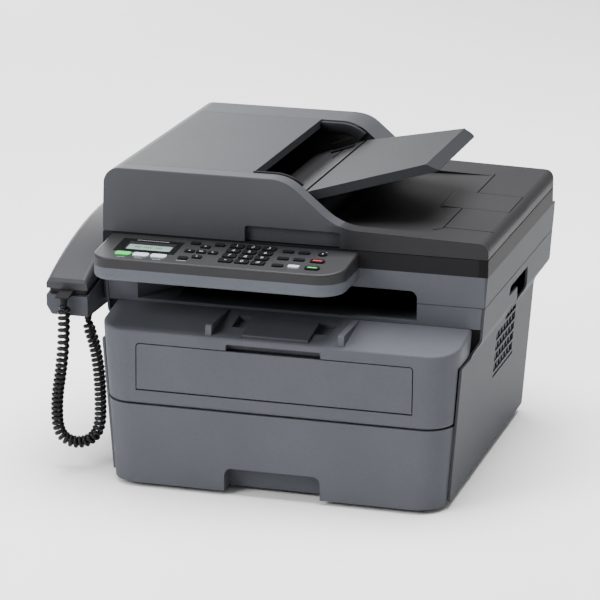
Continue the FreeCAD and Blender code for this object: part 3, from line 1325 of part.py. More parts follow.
def handset_cord():
    path = cord_path()
    start = path.Edges[0]
    direction = start.tangentAt(start.FirstParameter)
    ring = Part.Wire(Part.makeCircle(CORD_RADIUS, cord_points()[0], direction))
    return path.makePipeShell([ring], True, True)


# Inner units


def laser_unit():
    low = LASER_DECK_Z + FRAME_WALL
    high = EXIT_SILL_Z - FRAME_WALL
    body = bar_z(rectangle(-LASER_HALF, LASER_HALF, LASER_FRONT_Y, LASER_BACK_Y, 8.0), low, high)
    motor_y = (LASER_FRONT_Y + LASER_BACK_Y) / 2
    motor = Part.makeCylinder(LASER_MOTOR_RADIUS, 2.0, V(-LASER_HALF / 2, motor_y, high))
    return fuse([body, motor])


def drum_z():
    return DECK_Z + FRAME_WALL + DRUM_RADIUS + 4.0


def toner_unit():
    """Drum and toner cartridge: a housing with a grip at its front and a bay for the drum."""
    low = DECK_Z + FRAME_WALL
    high = low + TONER_HEIGHT
    front = PICKUP_Y + TONER_FRONT_GAP
    back = DRUM_Y + 2 * DRUM_RADIUS
    body = bar_x([
        (front, low, 4.0), (front, high - 8.0, 8.0), (DRUM_Y - 30.0, high, 8.0),
        (back, high, 4.0), (back, low, 4.0),
    ], -TONER_HALF, TONER_HALF)
    inside = DRUM_RADIUS + 1.0
    bay_half = DRUM_HALF + 2.0
    bay = fuse([
        rod_x(DRUM_Y, drum_z(), inside, -bay_half, bay_half),
        box(-bay_half, bay_half, DRUM_Y - inside, DRUM_Y + inside, low - 1.0, drum_z()),
    ])
    axle = rod_x(DRUM_Y, drum_z(), SHAFT_RADIUS + RUN_GAP, -TONER_HALF - 1.0, TONER_HALF + 1.0)
    grip = bar_x(rectangle(front + 6.0, front + 20.0, low + 16.0, high + 10.0, 3.0), -40.0, 40.0)
    return body.cut([bay, axle, grip])


def drum_roller():
    """Image drum on its shaft."""
    drum = rod_x(DRUM_Y, drum_z(), DRUM_RADIUS, -DRUM_HALF, DRUM_HALF)
    shaft = rod_x(DRUM_Y, drum_z(), SHAFT_RADIUS, -TONER_HALF, TONER_HALF)
    return fuse([drum, shaft])


def fuser_unit():
    low = DECK_Z + FRAME_WALL
    high = low + FUSER_HEIGHT
    back = engine_rear - REAR_WALL - FUSER_GAP
    front = back - FUSER_DEPTH
    body = bar_x([(front, low, 2.0), (front, high, 10.0), (back, high, 10.0), (back, low, 2.0)],
                 -FUSER_HALF, FUSER_HALF)
    slot = low + FUSER_HEIGHT * 0.4
    gap = bar_x(rectangle(front - 8.0, back + 8.0, slot, slot + FUSER_SLOT, 0.0),
                -FUSER_HALF + FUSER_SLOT_MARGIN, FUSER_HALF - FUSER_SLOT_MARGIN)
    return body.cut(gap)


def exhaust_fan():
    """Fan wheel on an axle in the right frame wall."""
    face = frame_half - FRAME_WALL
    hub = rod_x(FAN_Y, FAN_Z, FAN_HUB_RADIUS, face - FAN_DEPTH, face - EDGE_GAP)
    axle = rod_x(FAN_Y, FAN_Z, SHAFT_RADIUS, face - FAN_BLADE_FRONT / 2, frame_half - EDGE_GAP)
    blades = []
    for i in range(FAN_BLADES):
        blade = box(face - FAN_BLADE_BACK, face - FAN_BLADE_FRONT,
                    FAN_Y - FAN_BLADE_THICK / 2, FAN_Y + FAN_BLADE_THICK / 2,
                    FAN_Z + FAN_BLADE_ROOT, FAN_Z + FAN_RADIUS - FAN_TIP_GAP)
        blade.rotate(V(face - (FAN_BLADE_BACK + FAN_BLADE_FRONT) / 2, FAN_Y, FAN_Z), V(0, 0, 1), 30.0)
        blade.rotate(V(0, FAN_Y, FAN_Z), V(1, 0, 0), 360.0 * i / FAN_BLADES)
        blades.append(blade)
    return fuse([hub, axle] + blades)


def pickup_roller():
    shaft = rod_x(PICKUP_Y, PICKUP_Z, SHAFT_RADIUS, -frame_half + 0.5, frame_half - 0.5)
    tyre = rod_x(PICKUP_Y, PICKUP_Z, PICKUP_RADIUS, -24.0, 24.0)
    return fuse([shaft, tyre])


NODES = {
    "base_frame": base_frame,
    "rubber_feet": rubber_feet,
    "cover_screws": cover_screws,
    "left_side_cover": left_side_cover,
    "right_side_cover": right_side_cover,
    "upper_housing": upper_housing,
    "scanner_base": scanner_base,
    "platen_glass": platen_glass,
    "scan_rail": scan_rail,
    "scan_carriage": scan_carriage,
    "paper_tray": paper_tray,
    "lift_plate": lift_plate,
    "front_cover": front_cover,
    "manual_feed_door": manual_feed_door,
    "output_flap": output_flap,
    "rear_cover": rear_cover,
    "panel_base": panel_base,
    "panel_top": panel_top,
    "display_window": display_window,
    "document_lid": document_lid,
    "pressure_pad": pressure_pad,
    "feeder_cover": feeder_cover,
    "feed_roller": feed_roller,
    "document_tray": document_tray,
    "document_guide_front": lambda: document_guide(False),
    "document_guide_rear": lambda: document_guide(True),
    "document_stop": document_stop,
    "handset_upper": handset_upper,
    "handset_lower": handset_lower,
    "handset_cradle": handset_cradle,
    "hook_switch": hook_switch,
    "handset_cord": handset_cord,
    "laser_unit": laser_unit,
    "toner_unit": toner_unit,
    "drum_roller": drum_roller,
    "fuser_unit": fuser_unit,
    "exhaust_fan": exhaust_fan,
    "pickup_roller": pickup_roller,
}


def main():
    for name, make in NODES.items():
        save(name, make())
    for name, keys in KEYS.items():
        save(name, key_caps(keys))


main()
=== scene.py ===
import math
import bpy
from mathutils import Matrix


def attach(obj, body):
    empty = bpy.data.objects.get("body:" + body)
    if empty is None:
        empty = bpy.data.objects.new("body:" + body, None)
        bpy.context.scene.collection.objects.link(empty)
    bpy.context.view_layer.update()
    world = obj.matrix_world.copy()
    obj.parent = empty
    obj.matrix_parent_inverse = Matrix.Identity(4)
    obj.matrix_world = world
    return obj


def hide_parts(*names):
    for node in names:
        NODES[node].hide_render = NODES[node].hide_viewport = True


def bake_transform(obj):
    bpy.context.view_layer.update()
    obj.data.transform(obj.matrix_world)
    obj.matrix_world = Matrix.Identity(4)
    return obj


bl_info = {
    "name": "Fax Machine Dressing",
    "version": (1, 0, 0),
    "blender": (4, 5, 0),
    "location": "View3D > Sidebar > Fax Machine",
    "description": "Finishes, cord, display and key marks of a desktop fax machine",
    "category": "Object",
}

import bpy
import numpy as np
from bpy.props import FloatProperty, FloatVectorProperty, PointerProperty
from mathutils import Matrix, Vector

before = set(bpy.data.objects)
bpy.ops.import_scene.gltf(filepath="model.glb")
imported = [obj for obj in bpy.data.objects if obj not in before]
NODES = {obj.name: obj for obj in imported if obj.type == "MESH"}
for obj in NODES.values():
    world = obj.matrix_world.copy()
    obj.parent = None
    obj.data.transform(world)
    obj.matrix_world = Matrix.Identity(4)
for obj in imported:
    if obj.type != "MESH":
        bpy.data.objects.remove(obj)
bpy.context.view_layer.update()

# The machine's own middle plane, which lies right of the origin because the handset hangs on the left
MIDDLE = 0.0245

# Left end of the panel's rear edge, the panel's slope and the height of its key caps
PANEL_CORNER = (MIDDLE - 0.1950, -0.1267, 0.2490)
PANEL_TILT = math.atan(0.1)
KEY_TOP = 0.0014

# Feeder mouth: inner faces of its side walls, its left end, and the round of its shoulder
MOUTH_FRONT, MOUTH_BACK = -0.1060, 0.1480
MOUTH_LEFT = MIDDLE - 0.0480
SHOULDER = (MIDDLE - 0.0244, 0.2737)
SHOULDER_RADIUS = 0.0450
SHOULDER_TURN = math.radians(40.1)

# Document rest: its ends from the machine's middle and its heights there
REST_X = (0.0480, 0.2050)
REST_Z = (0.2715, 0.2674)
REST_SEAMS = {
    "front_seam": [(139.0, -90.5), (144.0, -85.5), (147.0, -81.5), (147.0, -40.0), (147.0, 2.5)],
    "side_seam": [(147.6, -78.0), (175.0, -78.0), (199.0, -78.0)],
    "rear_seam": [(147.0, 71.8), (147.0, 110.0), (147.0, 155.0)],
}

# Upper right corner of the paper exit's front edge
EXIT_CORNER = (MIDDLE + 0.1320, -0.1266, 0.2130)

# Points of the cord's middle line from the handset's gland to the cradle: x from the handset's middle, y, z
HANDSET_X = MIDDLE - 0.2315
CORD_POINTS = [
    (0.0005, -0.1745, 0.1900),
    (0.0005, -0.1745, 0.1510),
    (-0.0040, -0.1735, 0.1120),
    (-0.0108, -0.1710, 0.0780),
    (-0.0115, -0.1685, 0.0420),
    (0.0005, -0.1645, 0.0290),
    (0.0180, -0.1585, 0.0290),
    (0.0305, -0.1535, 0.0420),
    (0.0305, -0.1505, 0.0790),
    (0.0280, -0.1490, 0.1110),
    (0.0230, -0.1485, 0.1380),
    (0.0170, -0.1480, 0.1520),
    (0.0170, -0.1480, 0.1665),
]
CORD_ROUTE = [(HANDSET_X + x, y, z) for x, y, z in CORD_POINTS]

# Dial figures in reading order, with the node of each key
DIAL = [(digit, digit) for digit in "123456789"] + [("star", "*"), ("0", "0"), ("hash", "#")]
DIAL_MIDDLE, DIAL_TOP = 0.1575, 0.0116
DIAL_PITCH = (0.0171, 0.0135)

# Middle of the arrow keys and the last column of keys, in millimetres from the panel's rear left corner
ARROWS = (109.0, 34.6)
LAST_COLUMN = 232.0
STOP_Y, START_Y, POWER_Y = 34.6, 54.2, 15.0

# Height of flat marks above what they lie on, and the millimetres in a metre
MARK_LIFT = 0.00006
MM_PER_M = 1000.0

# Right flank of the machine, and the painted shade on it as a share of the cover's grey, standing in for the
# shade the right side lies in
FLANK_X = MIDDLE + 0.2020
FLANK_SHADE = 0.62

# Paper exit: depth and round of its corner, and the limits of the painted shade in its throat, where black
# fades in towards the back
EXIT_DEPTH, EXIT_ROUND = 0.006, 0.0080
THROAT_X = (MIDDLE - 0.1290, MIDDLE + 0.1345)
THROAT_FRONT, THROAT_TOP = -0.108, 0.2140

# Lips of the feeder's mouth: gap to its walls, height, and how far each lies below the lid's line
LIP_GAP, LIP_HEIGHT = 0.0012, 0.011
FRONT_LIP_DROP, REAR_LIP_DROP = -0.0016, 0.0014
REST_SEAM_WIDTH = 0.0013

# Steps along the cord, sides of its tube, and the run over which its curl swells at each end
CORD_STEPS, CORD_SIDES, CORD_LEAD = 4200, 8, 0.010

# How much the curl's pitch opens near the handset, how far along and over which run
CURL_OPENING, CURL_OPEN_AT, CURL_OPEN_RUN = 0.30, 0.045, 0.03
BOOT_RADIUS, BOOT_RIB = 0.0046, 0.0004

# Half of the floor's side, and the camera's place
FLOOR_HALF = 6.0
EYE = (0.87755 + MIDDLE, -3.08253, 1.09429)


def colour_property(name, description, default):
    return FloatVectorProperty(name=name, description=description, subtype="COLOR", size=3, min=0.0, max=1.0,
                               default=default)


def length_property(name, description, default):
    return FloatProperty(name=name, description=description, subtype="DISTANCE", unit="LENGTH",
                         default=default)


class FaxFinishes(bpy.types.PropertyGroup):
    """Colours of the machine's mouldings and trim."""
    cover: colour_property("Cover grey", "Engine covers, tray and front cover", (0.070, 0.0735, 0.0845))
    lid: colour_property("Lid grey", "Document lid, feeder and document tray", (0.045, 0.0468, 0.053))
    dark: colour_property("Dark grey", "Panel top, scanner and document rest", (0.0145, 0.0145, 0.0160))
    panel: colour_property("Panel base grey", "Lower shell of the control panel", (0.082, 0.087, 0.102))
    # Black is also painted as shade deep in the paper exit's throat
    black: colour_property("Black", "Inner frame and recesses", (0.005, 0.005, 0.0055))
    handset: colour_property("Handset grey", "Both shells of the handset", (0.034, 0.034, 0.038))
    screen: colour_property("Screen", "Pale liquid crystal of the display", (0.17, 0.245, 0.215))
    mark: colour_property("Marks", "Figures and marks on keys and panel", (0.30, 0.305, 0.31))
    green: colour_property("Green", "Cap of the selected mode and bar of the start key", (0.06, 0.42, 0.10))
    red: colour_property("Red", "Bar of the stop key", (0.45, 0.03, 0.04))


class FaxSizes(bpy.types.PropertyGroup):
    """Sizes of the pieces that are added to the solids."""
    wire: length_property("Cord wire", "Thickness of the cord's own wire", 0.0046)
    coil: length_property("Cord coil", "Outer width of the curled cord", 0.0135)
    pitch: length_property("Coil pitch", "Distance between turns of the resting cord", 0.0053)
    boot: length_property("Boot length", "Length of the sleeve at each end of the cord", 0.0095)
    digit: length_property("Digit height", "Height of the figures on the dial keys", 0.0050)
    lip: length_property("Lip width", "Thickness of the lips inside the feeder's mouth", 0.0032)


class FaxStage(bpy.types.PropertyGroup):
    """Camera and light of the studio."""
    azimuth: FloatProperty(name="Azimuth", description="Turn of the camera about the machine", default=16.381)
    elevation: FloatProperty(name="Elevation", description="Height of the camera above the horizon",
                             default=16.296)
    roll: FloatProperty(name="Roll", description="Turn of the picture", default=0.1345)
    lens: FloatProperty(name="Lens", description="Focal length in millimetres", default=188.23)
    sky: FloatProperty(name="Sky", description="Strength of the even light", default=0.42)
    key: FloatProperty(name="Key light", description="Power of the light at the front left", unit="POWER",
                       default=98.0)
    top: FloatProperty(name="Top light", description="Power of the light overhead", unit="POWER",
                       default=260.0)
    side: FloatProperty(name="Side light", description="Power of the light at the right", unit="POWER",
                        default=4.0)
    back: FloatProperty(name="Back light", description="Power of the light behind, for the tops' sheen",
                        unit="POWER", default=60.0)


def sizes():
    return bpy.context.scene.fax_sizes


def finishes():
    return bpy.context.scene.fax_finishes


def toned(colour, share):
    """A colour made darker or lighter by a share."""
    return [c * share for c in colour]


def node_tree(name):
    """A new material with its shader, and a shorthand that adds and links nodes."""
    material = bpy.data.materials.new(name)
    material.use_nodes = True
    tree = material.node_tree
    shader = tree.nodes["Principled BSDF"]

    def add(kind, inputs=None, **settings):
        node = tree.nodes.new(kind)
        for key, value in settings.items():
            setattr(node, key, value)
        for key, value in (inputs or {}).items():
            if isinstance(value, bpy.types.NodeSocket):
                tree.links.new(value, node.inputs[key])
            else:
                node.inputs[key].default_value = value
        return node

    return material, tree, shader, add


def two_tones(add, colour, spread, share):
    """A colour that runs from a darker to a lighter tone of itself with a share."""
    dark = [max(c * (1.0 - spread), 0.0) for c in colour]
    light = [min(c * (1.0 + spread), 1.0) for c in colour]
    mix = add("ShaderNodeMix", {0: share, 6: (*dark, 1.0), 7: (*light, 1.0)}, data_type="RGBA")
    return mix.outputs[2]


def moulded(name, colour, rough=0.55, grain=1400.0, depth=0.05, spread=0.10, specular=0.08, coat=0.0,
            layers=()):
    """Moulded plastic: spark-eroded grain in the bump, slow clouds in colour and fine ones in roughness.

    Each of the layers is another colour and the mask that shows it.
    """
    material, tree, shader, add = node_tree(name)
    place = add("ShaderNodeTexCoord").outputs["Object"]
    cloud = add("ShaderNodeTexNoise", {"Vector": place, "Scale": 14.0, "Detail": 4.0, "Roughness": 0.6})
    fleck = add("ShaderNodeTexNoise", {"Vector": place, "Scale": grain * 0.4, "Detail": 2.0,
                                       "Roughness": 0.5})
    blend = add("ShaderNodeMath", {0: cloud.outputs["Fac"], 1: fleck.outputs["Fac"]}, operation="ADD")
    clouds = add("ShaderNodeMapRange", {"Value": blend.outputs[0], "From Min": 0.6, "From Max": 1.4})
    share = clouds.outputs[0]
    tint = two_tones(add, colour, spread, share)
    for other, mask in layers:
        layer = two_tones(add, other, spread, share)
        tint = add("ShaderNodeMix", {0: mask(add, place), 6: tint, 7: layer}, data_type="RGBA").outputs[2]
    tree.links.new(tint, shader.inputs["Base Color"])
    gloss = add("ShaderNodeMapRange", {"Value": fleck.outputs["Fac"], "To Min": rough - 0.07,
                                       "To Max": rough + 0.07})
    tree.links.new(gloss.outputs[0], shader.inputs["Roughness"])
    pit = add("ShaderNodeTexVoronoi", {"Vector": place, "Scale": grain}, feature="SMOOTH_F1")
    bump = add("ShaderNodeBump", {"Height": pit.outputs["Distance"], "Strength": depth, "Distance": 0.0004})
    tree.links.new(bump.outputs[0], shader.inputs["Normal"])
    shader.inputs["Specular IOR Level"].default_value = specular
    shader.inputs["Coat Weight"].default_value = coat
    shader.inputs["Coat Roughness"].default_value = 0.25
    return material


def between(axis, low, high, soft=0.0004):
    """A mask that is 1 where a coordinate lies between two limits; None leaves a side open."""
    def mask(add, place):
        along = add("ShaderNodeSeparateXYZ", {0: place}).outputs[axis]
        out = None
        for limit, sign in ((low, 1.0), (high, -1.0)):
            if limit is None:
                continue
            step = add("ShaderNodeMapRange", {"Value": along, "From Min": limit - sign * soft,
                                              "From Max": limit + sign * soft}).outputs[0]
            if out is not None:
                step = add("ShaderNodeMath", {0: out, 1: step}, operation="MULTIPLY").outputs[0]
            out = step
        return out
    return mask


def where_all(*masks):
    """A mask that is 1 where all of several masks are."""
    def mask(add, place):
        out = masks[0](add, place)
        for other in masks[1:]:
            out = add("ShaderNodeMath", {0: out, 1: other(add, place)}, operation="MULTIPLY").outputs[0]
        return out
    return mask


def brushed(name, colour):
    """Drawn steel: streaks along X in roughness and bump."""
    material, tree, shader, add = node_tree(name)
    place = add("ShaderNodeTexCoord").outputs["Object"]
    stretch = add("ShaderNodeMapping", {"Vector": place, "Scale": (8.0, 900.0, 900.0)})
    streak = add("ShaderNodeTexNoise", {"Vector": stretch.outputs[0], "Scale": 1.0, "Detail": 3.0})
    tree.links.new(two_tones(add, colour, 0.12, streak.outputs["Fac"]), shader.inputs["Base Color"])
    gloss = add("ShaderNodeMapRange", {"Value": streak.outputs["Fac"], "To Min": 0.25, "To Max": 0.45})
    tree.links.new(gloss.outputs[0], shader.inputs["Roughness"])
    bump = add("ShaderNodeBump", {"Height": streak.outputs["Fac"], "Strength": 0.05, "Distance": 0.0002})
    tree.links.new(bump.outputs[0], shader.inputs["Normal"])
    shader.inputs["Metallic"].default_value = 1.0
    return material


def clear_glass(name):
    """Float glass with a faint green tone and fine dust in its roughness."""
    material, tree, shader, add = node_tree(name)
    place = add("ShaderNodeTexCoord").outputs["Object"]
    dust = add("ShaderNodeTexNoise", {"Vector": place, "Scale": 60.0, "Detail": 6.0})
    gloss = add("ShaderNodeMapRange", {"Value": dust.outputs["Fac"], "To Min": 0.02, "To Max": 0.08})
    tree.links.new(gloss.outputs[0], shader.inputs["Roughness"])
    tree.links.new(two_tones(add, (0.62, 0.72, 0.69), 0.05, dust.outputs["Fac"]), shader.inputs["Base Color"])
    shader.inputs["Transmission Weight"].default_value = 0.85
    shader.inputs["IOR"].default_value = 1.5
    return material


def paint(names, material):
    """Give CAD nodes or pieces one material."""
    for name in names:
        mesh = bpy.data.objects[name].data
        mesh.materials.clear()
        mesh.materials.append(material)


def piece_of(name, points, faces, material, smooth=True):
    """A new object at the origin from points and faces."""
    mesh = bpy.data.meshes.new(name)
    mesh.from_pydata(points, [], faces)
    if smooth:
        mesh.shade_smooth()
    if material is not None:
        mesh.materials.append(material)
    piece = bpy.data.objects.new(name, mesh)
    bpy.context.scene.collection.objects.link(piece)
    return piece


def grid_piece(name, points, close=False, capped=False, material=None):
    """A grid of points, shaped (rows, columns, 3), as quads; close joins the last column to the first.

    capped closes the first and the last row with one flat face each.
    """
    rows, columns = points.shape[:2]
    spans = columns if close else columns - 1
    i, j = np.meshgrid(np.arange(rows - 1), np.arange(spans), indexing="ij")
    k = (j + 1) % columns
    quads = np.stack([i * columns + j, (i + 1) * columns + j, (i + 1) * columns + k, i * columns + k],
                     axis=-1)
    faces = quads.reshape(-1, 4).tolist()
    if capped:
        ring = list(range(columns))
        faces += [ring, [(rows - 1) * columns + at for at in reversed(ring)]]
    piece = piece_of(name, points.reshape(-1, 3), faces, material)
    for face in piece.data.polygons[len(faces) - 2:] if capped else ():
        face.use_smooth = False
    return piece


def unit(vectors):
    return vectors / np.maximum(np.linalg.norm(vectors, axis=-1, keepdims=True), 1e-12)


def route_points():
    """The cord's smooth route: a NURBS spline by the given points, read back as points."""
    curve = bpy.data.curves.new("cord_route", "CURVE")
    curve.dimensions = "3D"
    curve.resolution_u = 24
    spline = curve.splines.new("NURBS")
    spline.points.add(len(CORD_ROUTE) - 1)
    for point, place in zip(spline.points, CORD_ROUTE):
        point.co = (*place, 1.0)
    spline.order_u = 3
    spline.use_endpoint_u = True
    return flat_mesh(curve)[0]


def flat_mesh(curve):
    """Points and faces of a curve or text, which is then removed."""
    holder = bpy.data.objects.new("holder", curve)
    mesh = bpy.data.meshes.new_from_object(holder)
    points = np.zeros(len(mesh.vertices) * 3)
    mesh.vertices.foreach_get("co", points)
    faces = [tuple(face.vertices) for face in mesh.polygons]
    bpy.data.meshes.remove(mesh)
    bpy.data.objects.remove(holder)
    bpy.data.curves.remove(curve)
    return points.reshape(-1, 3), faces


def evenly(line, count):
    """A line again, as a number of evenly spaced points, with its length."""
    along = np.concatenate([[0.0], np.cumsum(np.linalg.norm(np.diff(line, axis=0), axis=1))])
    at = np.linspace(0.0, along[-1], count)
    return np.stack([np.interp(at, along, line[:, k]) for k in range(3)], axis=1), along[-1]


def curled_line(line, count, radius, pitch, lead):
    """Helix about a line: the line plus a radius that turns with the distance run.

    The radius swells from nothing over a lead at each end, and the pitch opens near the handset.
    """
    middle, length = evenly(line, count)
    along = np.linspace(0.0, length, count)
    tangent = unit(np.gradient(middle, axis=0))
    side = unit(np.cross(tangent, np.array([0.25, -1.0, 0.0])))
    other = np.cross(tangent, side)
    open_up = 1.0 + CURL_OPENING * np.exp(-((along - CURL_OPEN_AT) / CURL_OPEN_RUN) ** 2)
    turn = np.cumsum(np.gradient(along) / (pitch * open_up)) * 2.0 * math.pi
    swell = np.clip(np.minimum(along, length - along) / lead - 0.5, 0.0, 1.0)
    swell = swell * swell * (3.0 - 2.0 * swell)
    radial = side * np.cos(turn)[:, None] + other * np.sin(turn)[:, None]
    return middle + radial * (radius * swell)[:, None], radial


def tube_about(line, guide, radius, sides):
    """Tube about a line: at each point a circle square to the line, begun from a guide direction."""
    tangent = unit(np.gradient(line, axis=0))
    first = unit(guide - tangent * np.sum(guide * tangent, axis=1, keepdims=True))
    second = np.cross(tangent, first)
    angle = np.linspace(0.0, 2.0 * math.pi, sides, endpoint=False)
    ring = first[:, None] * np.cos(angle)[None, :, None] + second[:, None] * np.sin(angle)[None, :, None]
    return line[:, None] + ring * radius


def boot_points(top, length, wire):
    """Sleeve that hangs from a point: a circle whose radius falls, with three ribs, as it goes down."""
    down = np.linspace(0.0, 1.0, 49)
    radius = BOOT_RADIUS - (BOOT_RADIUS - 0.62 * wire) * down ** 1.3
    radius = radius - BOOT_RIB * (np.sin(down * 6.0 * math.pi) > 0.55) * (down > 0.25)
    angle = np.linspace(0.0, 2.0 * math.pi, 28, endpoint=False)
    x = top[0] + radius[:, None] * np.cos(angle)
    y = top[1] - radius[:, None] * np.sin(angle)
    z = np.broadcast_to((top[2] - length * down)[:, None], x.shape)
    return np.stack([x, y, z], axis=-1)


def lip_points(middle_y, width, height, drop):
    """Lip inside the feeder's mouth: a bar with a round top carried along the shoulder's line.

    The line lies a drop below the lid's own: level from the mouth to the shoulder, then round its arc.
    """
    turn = np.linspace(0.0, SHOULDER_TURN, 40)
    radius = SHOULDER_RADIUS - drop
    level = np.stack([np.linspace(MOUTH_LEFT, SHOULDER[0], 8, endpoint=False),
                      np.full(8, SHOULDER[1] + radius)], axis=1)
    arc = np.stack([SHOULDER[0] + radius * np.sin(turn), SHOULDER[1] + radius * np.cos(turn)], axis=1)
    line = np.concatenate([level, arc])
    normal = np.concatenate([np.tile([0.0, 1.0], (8, 1)), np.stack([np.sin(turn), np.cos(turn)], axis=1)])
    half = width / 2.0
    round_top = np.linspace(0.0, math.pi, 13)
    across = np.concatenate([half * np.cos(round_top), [-half, half]])
    above = np.concatenate([half * np.sin(round_top) - half, [-height, -height]])
    points = np.zeros((len(line), len(across), 3))
    points[..., 0] = line[:, 0, None] + normal[:, 0, None] * above
    points[..., 1] = middle_y + across
    points[..., 2] = line[:, 1, None] + normal[:, 1, None] * above
    return points


def strip_points(corners, width):
    """Flat strip along a bent line on the document rest: each corner is widened to both sides of the line."""
    line = np.asarray(corners, float) / MM_PER_M
    along = unit(np.gradient(line, axis=0))
    across = np.stack([-along[:, 1], along[:, 0]], axis=1)
    flat = line[:, None] + across[:, None] * np.array([0.5, -0.5])[None, :, None] * width
    height = REST_Z[0] + (REST_Z[1] - REST_Z[0]) * (flat[..., 0] - REST_X[0]) / (REST_X[1] - REST_X[0])
    return np.stack([flat[..., 0] + MIDDLE, flat[..., 1], height + MARK_LIFT], axis=-1)


def corner_points(depth, radius):
    """Rounded inner corner of the paper exit: the corner's two sides and an arc between them, drawn back."""
    turn = np.linspace(0.0, math.pi / 2.0, 17)
    x = np.concatenate([EXIT_CORNER[0] - radius + radius * np.cos(turn), [EXIT_CORNER[0]]])
    z = np.concatenate([EXIT_CORNER[2] - radius + radius * np.sin(turn), [EXIT_CORNER[2]]])
    y = EXIT_CORNER[1] + np.array([0.0, depth])
    rows = np.broadcast_to(y[:, None], (2, len(x)))
    return np.stack([np.broadcast_to(x, rows.shape), rows, np.broadcast_to(z, rows.shape)], axis=-1)


def panel_point(x, y, lift):
    """Points on the panel's plane: x from its left edge, y forward of its rear edge, lift above it."""
    x, y, lift = np.broadcast_arrays(np.asarray(x, float), np.asarray(y, float), np.asarray(lift, float))
    return np.stack([
        PANEL_CORNER[0] + x,
        PANEL_CORNER[1] - y * math.cos(PANEL_TILT) - lift * math.sin(PANEL_TILT),
        PANEL_CORNER[2] - y * math.sin(PANEL_TILT) + lift * math.cos(PANEL_TILT),
    ], axis=-1)


def panel_marks(name, marks, lift, material):
    """Flat marks on the panel or its keys: each row gives a middle x, a middle y, a width and a depth."""
    x, y, width, depth = np.asarray(marks, float).T[:, :, None] / MM_PER_M
    u = x + width * np.array([-0.5, 0.5, 0.5, -0.5])
    v = y + depth * np.array([0.5, 0.5, -0.5, -0.5])
    points = panel_point(u, v, lift).reshape(-1, 3)
    return piece_of(name, points, np.arange(len(points)).reshape(-1, 4), material, smooth=False)


def on_body(piece, body, slot):
    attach(piece, body)


class FAX_OT_covers(bpy.types.Operator):
    """Finish the engine's covers, tray, frame and inner units"""
    bl_idname = "fax.covers"
    bl_label = "Engine Covers"

    def execute(self, context):
        f = finishes()
        grey = moulded("cover_grey", f.cover)
        paint(["left_side_cover", "paper_tray", "front_cover", "manual_feed_door", "rear_cover"], grey)
        # Painted shade: the right side cover is darkened for the shade on the machine's right flank
        paint(["right_side_cover"], moulded("side_painted_shade", toned(f.cover, FLANK_SHADE)))
        paint(["output_flap"], moulded("flap_grey", toned(f.cover, 0.75)))
        corner = grid_piece("exit_corner", corner_points(EXIT_DEPTH, EXIT_ROUND), close=True, capped=True,
                            material=grey)
        on_body(corner, "chassis", "body_grey")
        # Painted shade: black over the housing's own grey walls deep in the paper exit, fading in towards the
        # back
        throat_shade = where_all(between(0, *THROAT_X), between(1, THROAT_FRONT, None, 0.016),
                           between(2, None, THROAT_TOP))
        # Painted shade: the housing's right flank gets the same darkened grey as the right side cover
        flank_shade = between(0, FLANK_X, None)
        paint(["upper_housing"], moulded("housing_grey", f.cover, layers=[
            (f.black, throat_shade), (toned(f.cover, FLANK_SHADE), flank_shade)]))
        self.inner_units(f)
        return {"FINISHED"}

    def inner_units(self, f):
        """The black frame and units, the rubber, the drawn steel and the green drum."""
        paint(["base_frame", "laser_unit", "toner_unit", "fuser_unit", "exhaust_fan", "scan_carriage",
               "hook_switch"], moulded("frame_black", f.black, rough=0.6, grain=900.0, spread=0.2))
        paint(["rubber_feet", "feed_roller", "pickup_roller"],
              moulded("rubber_black", (0.012, 0.012, 0.013), rough=0.8, grain=700.0, depth=0.2, spread=0.25))
        paint(["cover_screws", "scan_rail", "lift_plate"], brushed("drawn_steel", (0.55, 0.56, 0.57)))
        paint(["drum_roller"], moulded("drum_green", (0.02, 0.14, 0.10), rough=0.15, grain=300.0, depth=0.01,
                                       coat=0.5))


